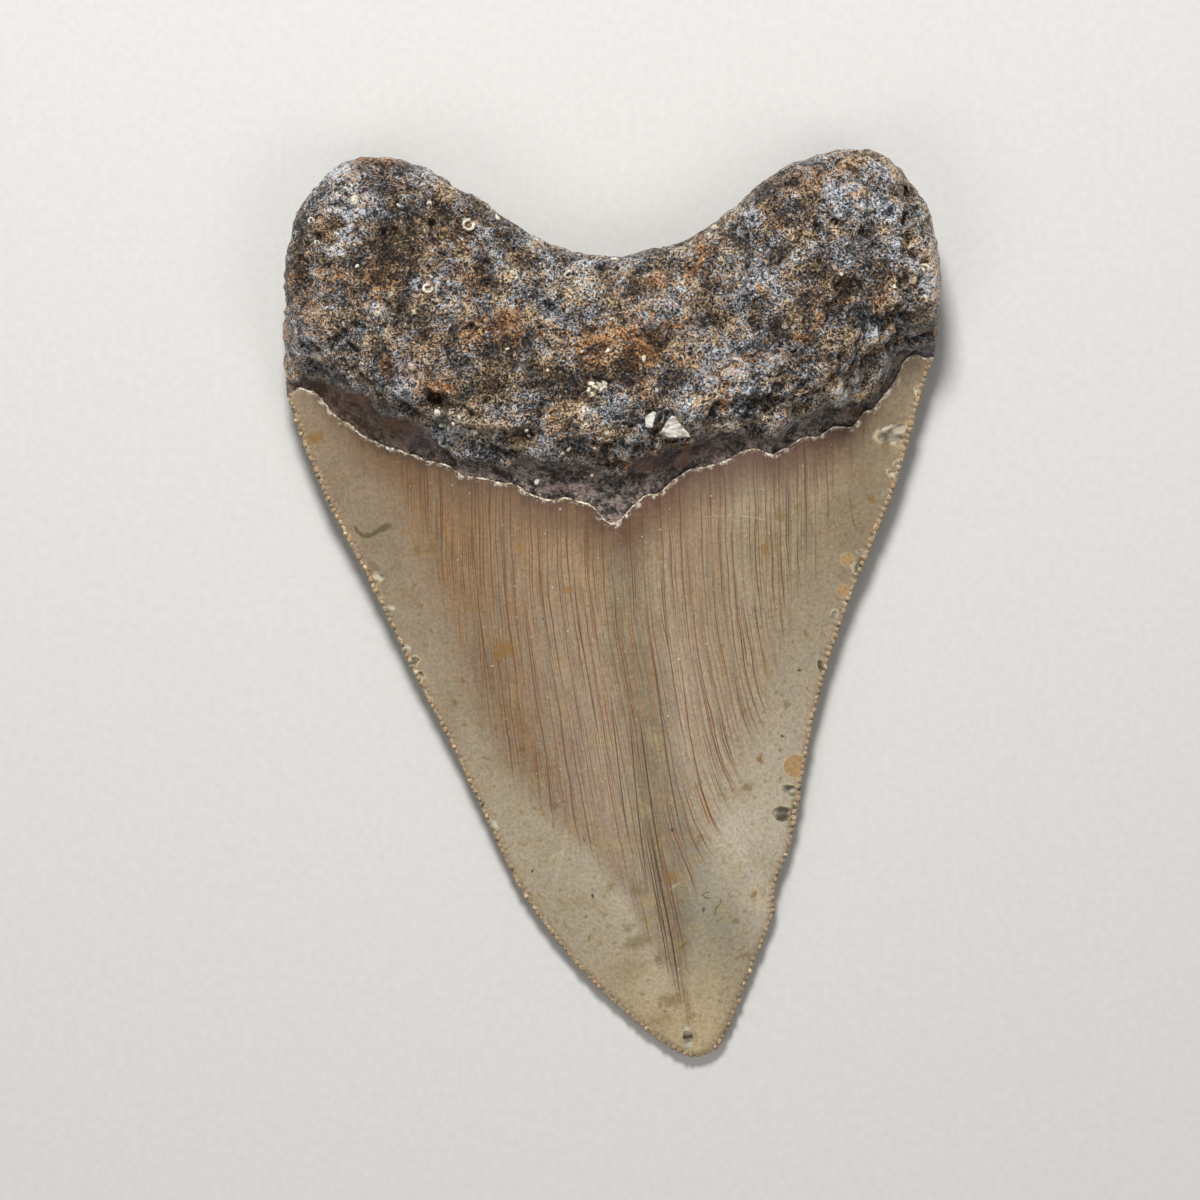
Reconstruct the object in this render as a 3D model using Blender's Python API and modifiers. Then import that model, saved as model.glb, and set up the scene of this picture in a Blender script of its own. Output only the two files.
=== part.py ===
"""A fossil megalodon tooth, lying on its flat labial face with its lingual face up.

The tooth is one piece: a heavy two-lobed root, a smooth sunken neck, and a crown whose two cutting
edges carry fine serrations. Two chips of sea shell are cemented in shallow pockets of the root.

Frame: +Y runs from the tip of the crown to the root, +Z out of the lingual face. The origin is the
middle of the tooth's footprint, on the surface that the tooth lies on. Sizes are in millimetres
until the meshes are made, which are in metres.
"""

import math

import bmesh
import bpy
import numpy as np
from mathutils import Matrix, Vector, noise

MM = 0.001

# The outline: points along the silhouette, which a smooth curve passes through.
TIP_LEFT = [(-3.0, -55.9), (3.0, -61.4), (8.2, -65.4), (12.2, -66.9)]
TIP_RIGHT = [(12.2, -66.9), (15.2, -65.8), (17.5, -62.1), (21.2, -52.7)]
LEFT_CUTTING_EDGE = [
    (-3.0, -55.9), (-8.3, -49.8), (-13.9, -41.9), (-17.9, -33.6), (-23.9, -20.9), (-29.7, -9.7),
    (-35.8, 2.9), (-41.9, 14.7), (-45.9, 24.2), (-47.8, 30.5),
]
RIGHT_CUTTING_EDGE = [
    (21.2, -52.7), (23.9, -45.6), (24.4, -41.0), (26.4, -35.6), (28.2, -25.8), (30.5, -14.0),
    (34.1, -1.9), (38.1, 8.1), (42.2, 18.6), (45.1, 29.4), (47.2, 36.4),
]
LEFT_ROOT_SIDE = [(-47.9, 32.3), (-48.2, 40.4), (-47.9, 49.9), (-46.5, 56.5), (-43.4, 61.1)]
RIGHT_ROOT_SIDE = [(47.4, 38.2), (48.0, 44.8), (47.2, 53.6), (44.9, 60.1)]
ROOT_TOP = [
    (-43.4, 61.1), (-39.6, 64.5), (-34.9, 65.5), (-27.5, 63.9), (-19.5, 59.5), (-14.3, 55.7),
    (-8.4, 52.4), (-1.1, 51.0), (5.5, 52.0), (12.1, 54.0), (17.3, 57.7), (21.7, 61.7),
    (26.8, 64.8), (34.9, 66.7), (40.7, 65.0), (44.9, 60.1),
]

# The neck, between the end of the enamel and the foot of the root's crust. On the lingual face it is
# a wide V, and on the labial face a narrow arch.
LINGUAL_ENAMEL_END = [
    (-47.8, 30.5), (-45.0, 31.9), (-41.3, 28.9), (-37.6, 25.7), (-32.5, 23.1), (-26.4, 21.1),
    (-19.8, 18.5), (-14.9, 17.5), (-10.4, 15.9), (-3.6, 14.9), (-1.8, 13.2), (0.4, 12.1),
    (2.6, 14.2), (6.2, 16.3), (9.5, 18.5), (14.5, 20.4), (19.3, 22.0), (25.9, 23.0), (31.4, 25.4),
    (36.2, 27.3), (40.3, 31.0), (41.7, 34.5), (43.4, 35.9), (47.2, 36.4),
]
LINGUAL_CRUST_FOOT = [
    (-47.9, 32.3), (-44.6, 33.2), (-40.6, 31.7), (-37.2, 30.0), (-31.9, 27.4), (-27.7, 24.8),
    (-22.6, 22.0), (-16.5, 20.9), (-10.6, 20.1), (0.8, 19.1), (4.3, 20.6), (9.3, 22.0),
    (13.1, 23.2), (18.9, 24.1), (23.4, 24.5), (28.6, 27.5), (35.0, 29.8), (38.1, 31.3),
    (40.3, 34.0), (42.0, 37.0), (47.4, 38.2),
]
LABIAL_ENAMEL_END = [
    (-47.8, 30.5), (-30.0, 31.5), (-12.0, 35.0), (2.0, 36.4), (26.0, 34.6), (47.2, 36.4),
]
LABIAL_CRUST_FOOT = [
    (-47.9, 32.3), (-30.0, 33.5), (-12.0, 37.0), (2.0, 38.4), (26.0, 36.8), (47.4, 38.2),
]

# Heights above the surface that the tooth lies on.
TIP_Y = -66.9
SHOULDER_Y = 33.0
EDGE_AT_TIP = 1.7
EDGE_AT_SHOULDER = 5.4
ROOT_RIM = 9.6
ROOT_RIM_REACHED = 14.0
CROWN_RISE = 14.2
CROWN_RISE_LENGTH = 30.0
CROWN_FULLNESS = 1.12
LABIAL_FLAT_SHARE = 0.42
ROOT_EDGE_RADIUS = 9.0
ROOT_BLEND = 9.0
ROOT_PLATEAU = 16.0
LOBE_Y = 66.0
LABIAL_LOBE_LIFT = 3.0
LABIAL_RECESS = 0.4

# Relief of the root's lingual face: x, y, radius along x, radius along y, height.
ROOT_RELIEF = [
    (0.0, 29.0, 34.0, 13.0, 10.0),
    (-33.0, 46.0, 12.0, 14.0, 3.2),
    (35.0, 47.0, 12.0, 14.0, 3.6),
    (-8.0, 47.0, 12.0, 5.0, 0.9),
    (-31.0, 50.0, 5.5, 5.0, -1.5),
    (33.5, 44.5, 6.5, 5.5, -1.8),
    (-21.0, 37.0, 5.0, 4.0, -0.9),
    (-2.5, 36.5, 7.0, 4.5, -1.0),
    (21.0, 29.0, 4.5, 3.0, -0.9),
    (14.5, 41.0, 3.5, 3.5, -0.8),
    (-39.5, 37.5, 4.5, 3.0, -0.8),
    (24.5, 52.0, 4.0, 3.5, -0.7),
    (-13.0, 29.0, 4.0, 3.0, -0.8),
]
LUMP_HEIGHT = 1.0
LUMP_WAVELENGTH = 6.5
LUMP_SMOOTHNESS = 0.8
LUMP_OCTAVES = 3
LUMP_SEED = 4.0
ENAMEL_STEP = 0.55
ENAMEL_STEP_WIDTH = 0.5
CRUST_STEP = 0.9
CRUST_STEP_WIDTH = 1.0
STEP_FADE = 2.0

# The serrated cutting edges, and the damage: x, y, half length, half width, depth, turn in degrees.
SERRATION_PITCH = 1.0
SERRATION_DEPTH = 0.36
TIP_SERRATION_DEPTH = 0.15
SERRATION_FULL_DEPTH_Y = -40.0
FLAKE_SCARS = [
    (41.9, 24.8, 2.6, 1.5, 0.8, 40.0),
    (27.0, -30.9, 2.4, 1.1, 0.7, 75.0),
    (11.6, -64.9, 2.2, 1.0, 0.5, 80.0),
    (-34.9, 4.2, 1.8, 1.2, 0.6, -60.0),
    (36.6, 5.6, 1.8, 0.9, 0.6, 65.0),
]
ROOT_PITS = [
    (-24.8, 29.6, 2.6, 1.2, 1.5, -20.0),
    (-12.6, 23.9, 1.2, 1.0, 1.1, 0.0),
    (42.0, 58.0, 1.5, 1.0, 1.1, -30.0),
    (19.8, 29.3, 1.8, 1.3, 1.1, 10.0),
    (-27.0, 55.5, 1.1, 0.9, 1.0, 0.0),
    (28.6, 36.3, 1.5, 0.9, 1.0, 15.0),
]

# The chips of shell: each one's outline about its own middle, and its place on the root.
CHIP_OUTLINE = [(-1.9, -0.9), (0.9, -1.5), (2.4, -1.3), (0.9, 0.5), (-0.8, 1.7)]
CHIP_PLACE = (8.7, 25.6)
SMALL_CHIP_OUTLINE = [(-0.9, -0.9), (0.2, -1.1), (0.6, 0.6), (0.1, 1.1), (-0.7, 0.3)]
SMALL_CHIP_PLACE = (5.4, 26.8)
CHIP_THICKNESS = 1.3
CHIP_STANDS_OUT = 0.7
CHIP_GAP = 0.35
CHIP_BEVEL = 0.2
POCKET_HEADROOM = 2.0
SLOPE_REACH = 0.5

# How finely the tooth is divided. The labial face takes every second row and column.
COLUMNS = 46
CROWN_ROWS = 34
NECK_ROWS = (0.12, 0.5, 0.85, 1.0)
ROOT_ROWS = 22
CURVE_SAMPLES = 16
RIM_CROWDING = 0.35
TOP_CROWDING = 0.4
LABIAL_STRIDE = 2

COLLECTION = "megalodon_tooth"


# --- curves and grids -------------------------------------------------------------------------------


def smooth_step(low, high, value):
    """Goes from 0 to 1 between two values, with soft ends."""
    share = np.clip((value - low) / (high - low), 0.0, 1.0)
    return share * share * (3.0 - 2.0 * share)


def curve_through(points, before=None, after=None):
    """A Catmull-Rom curve through the points; it heads from the point before and for the point after."""
    knots = np.array([before or points[0], *points, after or points[-1]], float)
    share = np.arange(CURVE_SAMPLES)[:, None] / CURVE_SAMPLES
    stretches = [
        0.5 * (2 * b + (c - a) * share + (2 * a - 5 * b + 4 * c - d) * share**2
               + (3 * b - a - 3 * c + d) * share**3)
        for a, b, c, d in zip(knots, knots[1:], knots[2:], knots[3:])
    ]
    return np.concatenate([*stretches, knots[-2:-1]])


def spaced(curve, shares):
    """The points of a curve at these shares of its length."""
    steps = np.linalg.norm(np.diff(curve, axis=0), axis=1)
    along = np.concatenate([[0.0], np.cumsum(steps)])
    places = np.asarray(shares) * along[-1]
    return np.stack([np.interp(places, along, curve[:, axis]) for axis in (0, 1)], axis=1)


def distance_to(curve, x, y):
    """How far each point is from a curve."""
    start = curve[:-1]
    step = np.diff(curve, axis=0)
    from_x = x[..., None] - start[:, 0]
    from_y = y[..., None] - start[:, 1]
    along = (from_x * step[:, 0] + from_y * step[:, 1]) / (step**2).sum(axis=1)
    along = np.clip(along, 0.0, 1.0)
    return np.hypot(from_x - along * step[:, 0], from_y - along * step[:, 1]).min(axis=-1)


def patch(bottom, top, left, right, row_shares, column_shares):
    """Fills a four-sided outline with a grid, as a Coons patch; rows run from bottom to top."""
    s = column_shares[None, :, None]
    t = row_shares[:, None, None]
    from_sides = (1 - s) * left[:, None] + s * right[:, None]
    from_ends = (1 - t) * bottom[None] + t * top[None]
    from_corners = ((1 - s) * (1 - t) * bottom[0] + s * (1 - t) * bottom[-1]
                    + (1 - s) * t * top[0] + s * t * top[-1])
    return from_sides + from_ends - from_corners


TIP = curve_through(TIP_LEFT + TIP_RIGHT[1:], LEFT_CUTTING_EDGE[1], RIGHT_CUTTING_EDGE[1])
LEFT_EDGE = curve_through(LEFT_CUTTING_EDGE, TIP_LEFT[1], LEFT_ROOT_SIDE[0])
RIGHT_EDGE = curve_through(RIGHT_CUTTING_EDGE, TIP_RIGHT[-2], RIGHT_ROOT_SIDE[0])
LEFT_ROOT = curve_through(LEFT_ROOT_SIDE, LEFT_CUTTING_EDGE[-1], ROOT_TOP[1])
RIGHT_ROOT = curve_through(RIGHT_ROOT_SIDE, RIGHT_CUTTING_EDGE[-1], ROOT_TOP[-2])
TOP = curve_through(ROOT_TOP, LEFT_ROOT_SIDE[-2], RIGHT_ROOT_SIDE[-2])
TIP_MIDDLE = len(TIP_LEFT[1:]) * CURVE_SAMPLES
LEFT_SIDE = np.concatenate([TIP[TIP_MIDDLE::-1], LEFT_EDGE[1:], LEFT_ROOT])
RIGHT_SIDE = np.concatenate([TIP[TIP_MIDDLE:], RIGHT_EDGE[1:], RIGHT_ROOT])
SILHOUETTE = np.concatenate([LEFT_SIDE, TOP[1:], RIGHT_SIDE[::-1][1:]])


def plan_of_face(enamel_end, crust_foot):
    """One face's grid seen from above: the rows of the crown, then of the neck, then of the root."""
    even = np.linspace(0.0, 1.0, COLUMNS + 1)
    columns = (1 - RIM_CROWDING) * even + RIM_CROWDING * (0.5 - 0.5 * np.cos(math.pi * even))
    enamel = spaced(curve_through(enamel_end), columns)
    foot = spaced(curve_through(crust_foot), columns)
    crown_rows = np.linspace(0.0, 1.0, CROWN_ROWS + 1)
    crown = patch(spaced(TIP, columns), enamel, spaced(LEFT_EDGE, crown_rows),
                  spaced(RIGHT_EDGE, crown_rows), crown_rows, columns)
    neck = [enamel + share * (foot - enamel) for share in NECK_ROWS]
    even = np.linspace(0.0, 1.0, ROOT_ROWS + 1)
    root_rows = (1 - TOP_CROWDING) * even + TOP_CROWDING * np.sin(0.5 * math.pi * even)
    root = patch(foot, spaced(TOP, columns), spaced(LEFT_ROOT, root_rows),
                 spaced(RIGHT_ROOT, root_rows), root_rows, columns)
    return np.concatenate([crown, neck, root[1:]])


# --- heights ----------------------------------------------------------------------------------------


def rim_height(y):
    """The height of the silhouette's edge: the cutting edges climb to the root's middle."""
    share = np.clip((y - TIP_Y) / (SHOULDER_Y - TIP_Y), 0.0, 1.0)
    cutting_edge = EDGE_AT_TIP + (EDGE_AT_SHOULDER - EDGE_AT_TIP) * share
    on_root = smooth_step(SHOULDER_Y, SHOULDER_Y + ROOT_RIM_REACHED, y)
    return cutting_edge + (ROOT_RIM - EDGE_AT_SHOULDER) * on_root


def across(x, y):
    """Where a point is between the two sides: -1 on the left one, 1 on the right one."""
    left = distance_to(LEFT_SIDE, x, y)
    right = distance_to(RIGHT_SIDE, x, y)
    return (left - right) / np.maximum(left + right, 1e-6)


def rounding(x, y):
    """0 on the silhouette and 1 inside it, as the quarter of a circle in between."""
    inward = np.clip(distance_to(SILHOUETTE, x, y) / ROOT_EDGE_RADIUS, 0.0, 1.0)
    return np.sqrt(1.0 - (1.0 - inward)**2)


def lumps(x, y):
    """The uneven ground of the root's crust, from about -1 to 1."""
    places = zip(x.ravel() / LUMP_WAVELENGTH, y.ravel() / LUMP_WAVELENGTH)
    found = [
        noise.fractal(Vector((px, py, LUMP_SEED)), LUMP_SMOOTHNESS, 2.0, LUMP_OCTAVES)
        for px, py in places
    ]
    return np.reshape(found, x.shape)


def relief(x, y):
    """The swellings and hollows of the root's lingual face."""
    total = np.zeros_like(x)
    for middle_x, middle_y, radius_x, radius_y, height in ROOT_RELIEF:
        total += height * np.exp(-((x - middle_x) / radius_x)**2 - ((y - middle_y) / radius_y)**2)
    return total


def lingual_height(x, y, past_enamel, past_foot):
    """The upper face; the last two say how far a point is past the enamel and past the crust's foot."""
    rim = rim_height(y)
    rise = CROWN_RISE * (1.0 - np.exp(-(y - TIP_Y) / CROWN_RISE_LENGTH))
    crown = rim + rise * (1.0 - across(x, y)**2) ** CROWN_FULLNESS
    root = rim + (ROOT_PLATEAU + relief(x, y) - rim) * rounding(x, y)
    share = smooth_step(0.0, ROOT_BLEND, past_enamel)
    steps = (CRUST_STEP * smooth_step(0.0, CRUST_STEP_WIDTH, past_foot)
             - ENAMEL_STEP * smooth_step(0.0, ENAMEL_STEP_WIDTH, past_enamel)
             + LUMP_HEIGHT * lumps(x, y) * smooth_step(0.0, STEP_FADE, past_foot))
    inward = smooth_step(0.0, STEP_FADE, distance_to(SILHOUETTE, x, y))
    return (1.0 - share) * crown + share * root + steps * inward


def labial_height(x, y, past_enamel):
    """The lower face: flat along the middle of the crown, and lifted towards the root's lobes."""
    rim = rim_height(y)
    outward = np.maximum(np.abs(across(x, y)) - LABIAL_FLAT_SHARE, 0.0) / (1.0 - LABIAL_FLAT_SHARE)
    crown = rim * outward**2
    lift = LABIAL_RECESS + LABIAL_LOBE_LIFT * smooth_step(SHOULDER_Y, LOBE_Y, y)
    root = rim - (rim - lift) * rounding(x, y)
    share = smooth_step(0.0, ROOT_BLEND, past_enamel)
    return (1.0 - share) * crown + share * root


def past(curve, x, y, first_row):
    """How far the points of a face's grid lie past a curve, for the rows from first_row up."""
    distance = distance_to(curve, x, y)
    distance[:first_row] = 0.0
    return distance


# --- the tooth --------------------------------------------------------------------------------------


def face_points():
    """The lingual and the labial grid of points, which agree along the silhouette."""
    foot_row = CROWN_ROWS + len(NECK_ROWS)
    x, y = np.moveaxis(plan_of_face(LINGUAL_ENAMEL_END, LINGUAL_CRUST_FOOT), 2, 0)
    past_enamel = past(curve_through(LINGUAL_ENAMEL_END), x, y, CROWN_ROWS)
    past_foot = past(curve_through(LINGUAL_CRUST_FOOT), x, y, foot_row)
    lingual = np.stack([x, y, lingual_height(x, y, past_enamel, past_foot)], axis=2)
    x, y = np.moveaxis(plan_of_face(LABIAL_ENAMEL_END, LABIAL_CRUST_FOOT), 2, 0)
    past_enamel = past(curve_through(LABIAL_ENAMEL_END), x, y, CROWN_ROWS)
    labial = np.stack([x, y, labial_height(x, y, past_enamel)], axis=2)
    return lingual, labial


def zone_of_row(row):
    """The material of the faces above a row of the grid: enamel, neck or root."""
    if row < CROWN_ROWS:
        return 0
    if row < CROWN_ROWS + len(NECK_ROWS):
        return 1
    return 2


def add_lingual_faces(bm, verts):
    """Squares between all neighbouring points, facing up."""
    rows, columns = verts.shape
    for row in range(rows - 1):
        for column in range(columns - 1):
            corners = (verts[row, column], verts[row, column + 1],
                       verts[row + 1, column + 1], verts[row + 1, column])
            bm.faces.new(corners).material_index = zone_of_row(row)


def add_labial_faces(bm, verts):
    """Squares of twice the size, facing down, which keep every point of the silhouette."""
    last_row, last_column = verts.shape[0] - 1, verts.shape[1] - 1
    for row in range(0, last_row, LABIAL_STRIDE):
        for column in range(0, last_column, LABIAL_STRIDE):
            top, right = row + LABIAL_STRIDE, column + LABIAL_STRIDE
            corners = [verts[row, column]]
            if column == 0:
                corners.append(verts[row + 1, column])
            corners.append(verts[top, column])
            if top == last_row:
                corners.append(verts[top, column + 1])
            corners.append(verts[top, right])
            if right == last_column:
                corners.append(verts[row + 1, right])
            corners.append(verts[row, right])
            if row == 0:
                corners.append(verts[row, column + 1])
            bm.faces.new(corners).material_index = zone_of_row(row)


def cut_serrations(bm, edge_verts):
    """Divides the cutting edge between its points and draws every second new point inwards."""
    for start, end in zip(edge_verts, edge_verts[1:]):
        heading = end.co - start.co
        parts = 2 * max(1, round(heading.length / (SERRATION_PITCH * MM)))
        inward = Vector((-heading.y, heading.x, 0.0)).normalized()
        full = float(smooth_step(TIP_Y * MM, SERRATION_FULL_DEPTH_Y * MM, start.co.y))
        depth = TIP_SERRATION_DEPTH + (SERRATION_DEPTH - TIP_SERRATION_DEPTH) * full
        last = start
        for number in range(1, parts):
            edge = bm.edges.get((last, end))
            last = bmesh.utils.edge_split(edge, last, 0.5)[1]
            last.co = start.co.lerp(end.co, number / parts)
            if number % 2:
                last.co += inward * depth * MM


def tooth_mesh():
    """The closed mesh of the whole tooth."""
    lingual, labial = face_points()
    rim = np.zeros(lingual.shape[:2], bool)
    rim[[0, -1]] = True
    rim[:, [0, -1]] = True
    bm = bmesh.new()
    upper = np.empty(rim.shape, object)
    lower = np.empty(rim.shape, object)
    for place in np.ndindex(rim.shape):
        upper[place] = bm.verts.new(Vector(lingual[place]) * MM)
        lower[place] = upper[place] if rim[place] else bm.verts.new(Vector(labial[place]) * MM)
    add_lingual_faces(bm, upper)
    add_labial_faces(bm, lower)
    bmesh.ops.delete(bm, geom=[v for v in bm.verts if not v.link_faces], context="VERTS")
    crown = upper[: CROWN_ROWS + 1]
    cut_serrations(bm, [*crown[::-1, 0], *crown[0, 1:], *crown[1:, -1]])
    along_rim = [face for face in bm.faces if len(face.verts) > 4]
    bmesh.ops.poke(bm, faces=along_rim, center_mode="MEAN_WEIGHTED")
    bmesh.ops.triangulate(bm, faces=bm.faces[:])
    mesh = bpy.data.meshes.new("tooth")
    bm.to_mesh(mesh)
    bm.free()
    return mesh


# --- objects ----------------------------------------------------------------------------------------


def material(name, colour, roughness):
    """A plain finish: its colour, in linear light, and its roughness."""
    made = bpy.data.materials.new(name)
    made.use_nodes = True
    shader = made.node_tree.nodes["Principled BSDF"]
    shader.inputs["Base Color"].default_value = (*colour, 1.0)
    shader.inputs["Roughness"].default_value = roughness
    return made


def collection(name):
    made = bpy.data.collections.new(name)
    bpy.context.scene.collection.children.link(made)
    return made


def surface_frame(place):
    """The lingual surface at a place: its point, and axes that lie in it with +Z out of it."""
    x = np.array([place[0], place[0] + SLOPE_REACH, place[0]])
    y = np.array([place[1], place[1], place[1] + SLOPE_REACH])
    past_enamel = distance_to(curve_through(LINGUAL_ENAMEL_END), x, y)
    past_foot = distance_to(curve_through(LINGUAL_CRUST_FOOT), x, y)
    on_root = y > np.interp(x, *np.array(LINGUAL_CRUST_FOOT).T)
    z = lingual_height(x, y, past_enamel * on_root, past_foot * on_root)
    along_x = Vector((SLOPE_REACH, 0.0, z[1] - z[0])).normalized()
    out = along_x.cross(Vector((0.0, SLOPE_REACH, z[2] - z[0]))).normalized()
    axes = Matrix((along_x, out.cross(along_x), out)).transposed().to_4x4()
    return Matrix.Translation(Vector((*place, z[0])) * MM) @ axes


def scoops(name, hollows):
    """One cutter of ellipsoids, half sunk in the lingual face."""
    bm = bmesh.new()
    for x, y, half_length, half_width, depth, turn in hollows:
        size = Matrix.Diagonal((half_length * MM, half_width * MM, depth * MM, 1.0))
        turned = Matrix.Rotation(math.radians(turn), 4, "Z")
        bmesh.ops.create_uvsphere(bm, u_segments=12, v_segments=8, radius=1.0,
                                  matrix=surface_frame((x, y)) @ turned @ size)
    mesh = bpy.data.meshes.new(name)
    bm.to_mesh(mesh)
    bm.free()
    return bpy.data.objects.new(name, mesh)


def plate(name, outline, low, high):
    """A flat plate with this outline, between two heights."""
    curve = bpy.data.curves.new(name, "CURVE")
    curve.dimensions = "2D"
    curve.fill_mode = "BOTH"
    curve.extrude = 0.5 * (high - low) * MM
    spline = curve.splines.new("POLY")
    spline.points.add(len(outline) - 1)
    for point, (x, y) in zip(spline.points, outline):
        point.co = (x * MM, y * MM, 0.0, 1.0)
    spline.use_cyclic_u = True
    flat = bpy.data.objects.new(name + "_outline", curve)
    bpy.context.scene.collection.objects.link(flat)
    bpy.context.view_layer.update()
    mesh = bpy.data.meshes.new_from_object(flat.evaluated_get(bpy.context.evaluated_depsgraph_get()))
    bpy.data.objects.remove(flat)
    bm = bmesh.new()
    bm.from_mesh(mesh)
    bmesh.ops.remove_doubles(bm, verts=bm.verts, dist=0.01 * MM)
    bmesh.ops.translate(bm, verts=bm.verts, vec=(0.0, 0.0, 0.5 * (low + high) * MM))
    bmesh.ops.recalc_face_normals(bm, faces=bm.faces)
    bm.to_mesh(mesh)
    bm.free()
    return bpy.data.objects.new(name, mesh)


def grown(outline, gap):
    """The outline made larger about its middle, so that its nearest side moves out by the gap."""
    closed = np.array([*outline, outline[0]])
    nearest = distance_to(closed, np.zeros(1), np.zeros(1))[0]
    return [tuple(point) for point in closed[:-1] * (1.0 + gap / nearest)]


def add_cutter(tooth, cutter, cutters):
    """Cuts a hidden shape out of the tooth."""
    cutters.objects.link(cutter)
    cutter.hide_render = True
    cutter.display_type = "WIRE"
    cut = tooth.modifiers.new(cutter.name, "BOOLEAN")
    cut.operation = "DIFFERENCE"
    cut.solver = "EXACT"
    cut.object = cutter


def add_tooth(parts, cutters):
    tooth = bpy.data.objects.new("tooth", tooth_mesh())
    parts.objects.link(tooth)
    tooth.data.materials.append(material("enamel", (0.30, 0.24, 0.16), 0.35))
    tooth.data.materials.append(material("neck", (0.03, 0.026, 0.024), 0.45))
    tooth.data.materials.append(material("root", (0.09, 0.08, 0.08), 0.4))
    add_cutter(tooth, scoops("cutter_flake_scars", FLAKE_SCARS), cutters)
    add_cutter(tooth, scoops("cutter_root_pits", ROOT_PITS), cutters)
    return tooth


def add_chip(name, outline, place, tooth, parts, cutters, finish):
    """A chip of shell that stands out of a pocket of the root, with a small gap all round."""
    chip = plate(name, outline, CHIP_STANDS_OUT - CHIP_THICKNESS, CHIP_STANDS_OUT)
    chip.matrix_world = surface_frame(place)
    chip.data.materials.append(finish)
    parts.objects.link(chip)
    bevel = chip.modifiers.new("worn_edges", "BEVEL")
    bevel.width = CHIP_BEVEL * MM
    bevel.segments = 1
    pocket_floor = CHIP_STANDS_OUT - CHIP_THICKNESS - CHIP_GAP
    pocket = plate("cutter_" + name, grown(outline, CHIP_GAP), pocket_floor, POCKET_HEADROOM)
    pocket.matrix_world = surface_frame(place)
    add_cutter(tooth, pocket, cutters)


for old in list(bpy.data.objects):
    bpy.data.objects.remove(old)

parts = collection(COLLECTION)
cutters = collection("cutters")
tooth = add_tooth(parts, cutters)
shell = material("shell", (0.75, 0.72, 0.66), 0.5)
add_chip("shell_chip", CHIP_OUTLINE, CHIP_PLACE, tooth, parts, cutters, shell)
add_chip("shell_chip_small", SMALL_CHIP_OUTLINE, SMALL_CHIP_PLACE, tooth, parts, cutters, shell)
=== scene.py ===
import math

import bpy
import numpy as np
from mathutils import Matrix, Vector, noise
from mathutils.bvhtree import BVHTree


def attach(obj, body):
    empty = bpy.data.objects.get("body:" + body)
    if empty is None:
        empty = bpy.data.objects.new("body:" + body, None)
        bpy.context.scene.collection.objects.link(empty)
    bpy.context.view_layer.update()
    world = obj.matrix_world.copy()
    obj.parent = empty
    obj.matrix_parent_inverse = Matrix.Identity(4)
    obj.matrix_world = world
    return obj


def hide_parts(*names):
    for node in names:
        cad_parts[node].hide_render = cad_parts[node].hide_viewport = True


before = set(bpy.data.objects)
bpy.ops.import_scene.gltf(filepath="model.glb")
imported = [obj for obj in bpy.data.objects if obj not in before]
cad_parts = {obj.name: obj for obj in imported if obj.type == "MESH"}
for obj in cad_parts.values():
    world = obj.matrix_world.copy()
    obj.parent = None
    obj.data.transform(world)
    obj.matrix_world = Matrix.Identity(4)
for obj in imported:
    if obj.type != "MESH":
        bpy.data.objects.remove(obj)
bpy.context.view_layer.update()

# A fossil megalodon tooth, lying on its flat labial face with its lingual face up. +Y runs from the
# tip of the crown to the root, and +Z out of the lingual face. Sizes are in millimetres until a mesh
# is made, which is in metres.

# --- Camera, light and ground -----------------------------------------------------------------------
# The camera looks straight down on the tooth. The light is that of a photographer's table: a strong
# softbox beyond the root, two large weak ones before it, and a pale sheet of card under the tooth.

MM = 0.001
CAMERA_PLACE = (-1.84, 0.73, 900.0)
CAMERA_LENS = 182.7
CAMERA_SEES_TO = 20000.0
# Place, size, and power in watts.
SOFTBOXES = [
    ((-60.0, 430.0, 520.0), 170.0, 4.8),
    ((-360.0, -290.0, 600.0), 420.0, 1.0),
    ((400.0, -210.0, 640.0), 420.0, 1.05),
]
SKY_STRENGTH = 0.17
CARD_HALF_WIDTH = 900.0
CARD_Z = -0.05


def linear(hex_colour):
    """An sRGB hex colour in linear light, with full opacity."""
    parts = [int(hex_colour[at:at + 2], 16) / 255.0 for at in (1, 3, 5)]
    return (*[part / 12.92 if part <= 0.04045 else ((part + 0.055) / 1.055)**2.4
              for part in parts], 1.0)


def add(kind, *feeds, output=0, ramp=(), **named):
    """Adds a node to the tree at hand, and gives one of its outputs, or the node itself for None.

    A second word in the kind is the node's operation. Its inputs take sockets or values, in order or
    by name, and a name in small letters is a setting.
    """
    kind, _, operation = kind.partition(" ")
    node = tree.nodes.new(kind if "Node" in kind else "ShaderNode" + kind)
    if operation:
        setattr(node, "operation" if hasattr(node, "operation") else "interpolation_type", operation)
    for name in filter(str.islower, named):
        setattr(node, name, named[name])
    by_name = [(name.replace("_", " "), value) for name, value in named.items() if not name.islower()]
    for place, value in [*enumerate(feeds), *by_name]:
        if isinstance(value, bpy.types.NodeSocket):
            tree.links.new(value, node.inputs[place])
        else:
            node.inputs[place].default_value = value
    for number, (position, colour) in enumerate(ramp):
        stops = node.color_ramp.elements
        stop = stops[number] if number < 2 else stops.new(position)
        stop.position = position
        stop.color = linear(colour)
    return node if output is None else node.outputs[output]


def new_finish(name, stretch=(1.0, 1.0, 1.0)):
    """Starts a material, and gives it with the place on its piece in millimetres, or stretched."""
    global tree
    finish = bpy.data.materials.new(name)
    finish.use_nodes = True
    tree = finish.node_tree
    return finish, add("VectorMath MULTIPLY", add("TexCoord", output=3),
                       [part / MM for part in stretch])


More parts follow.
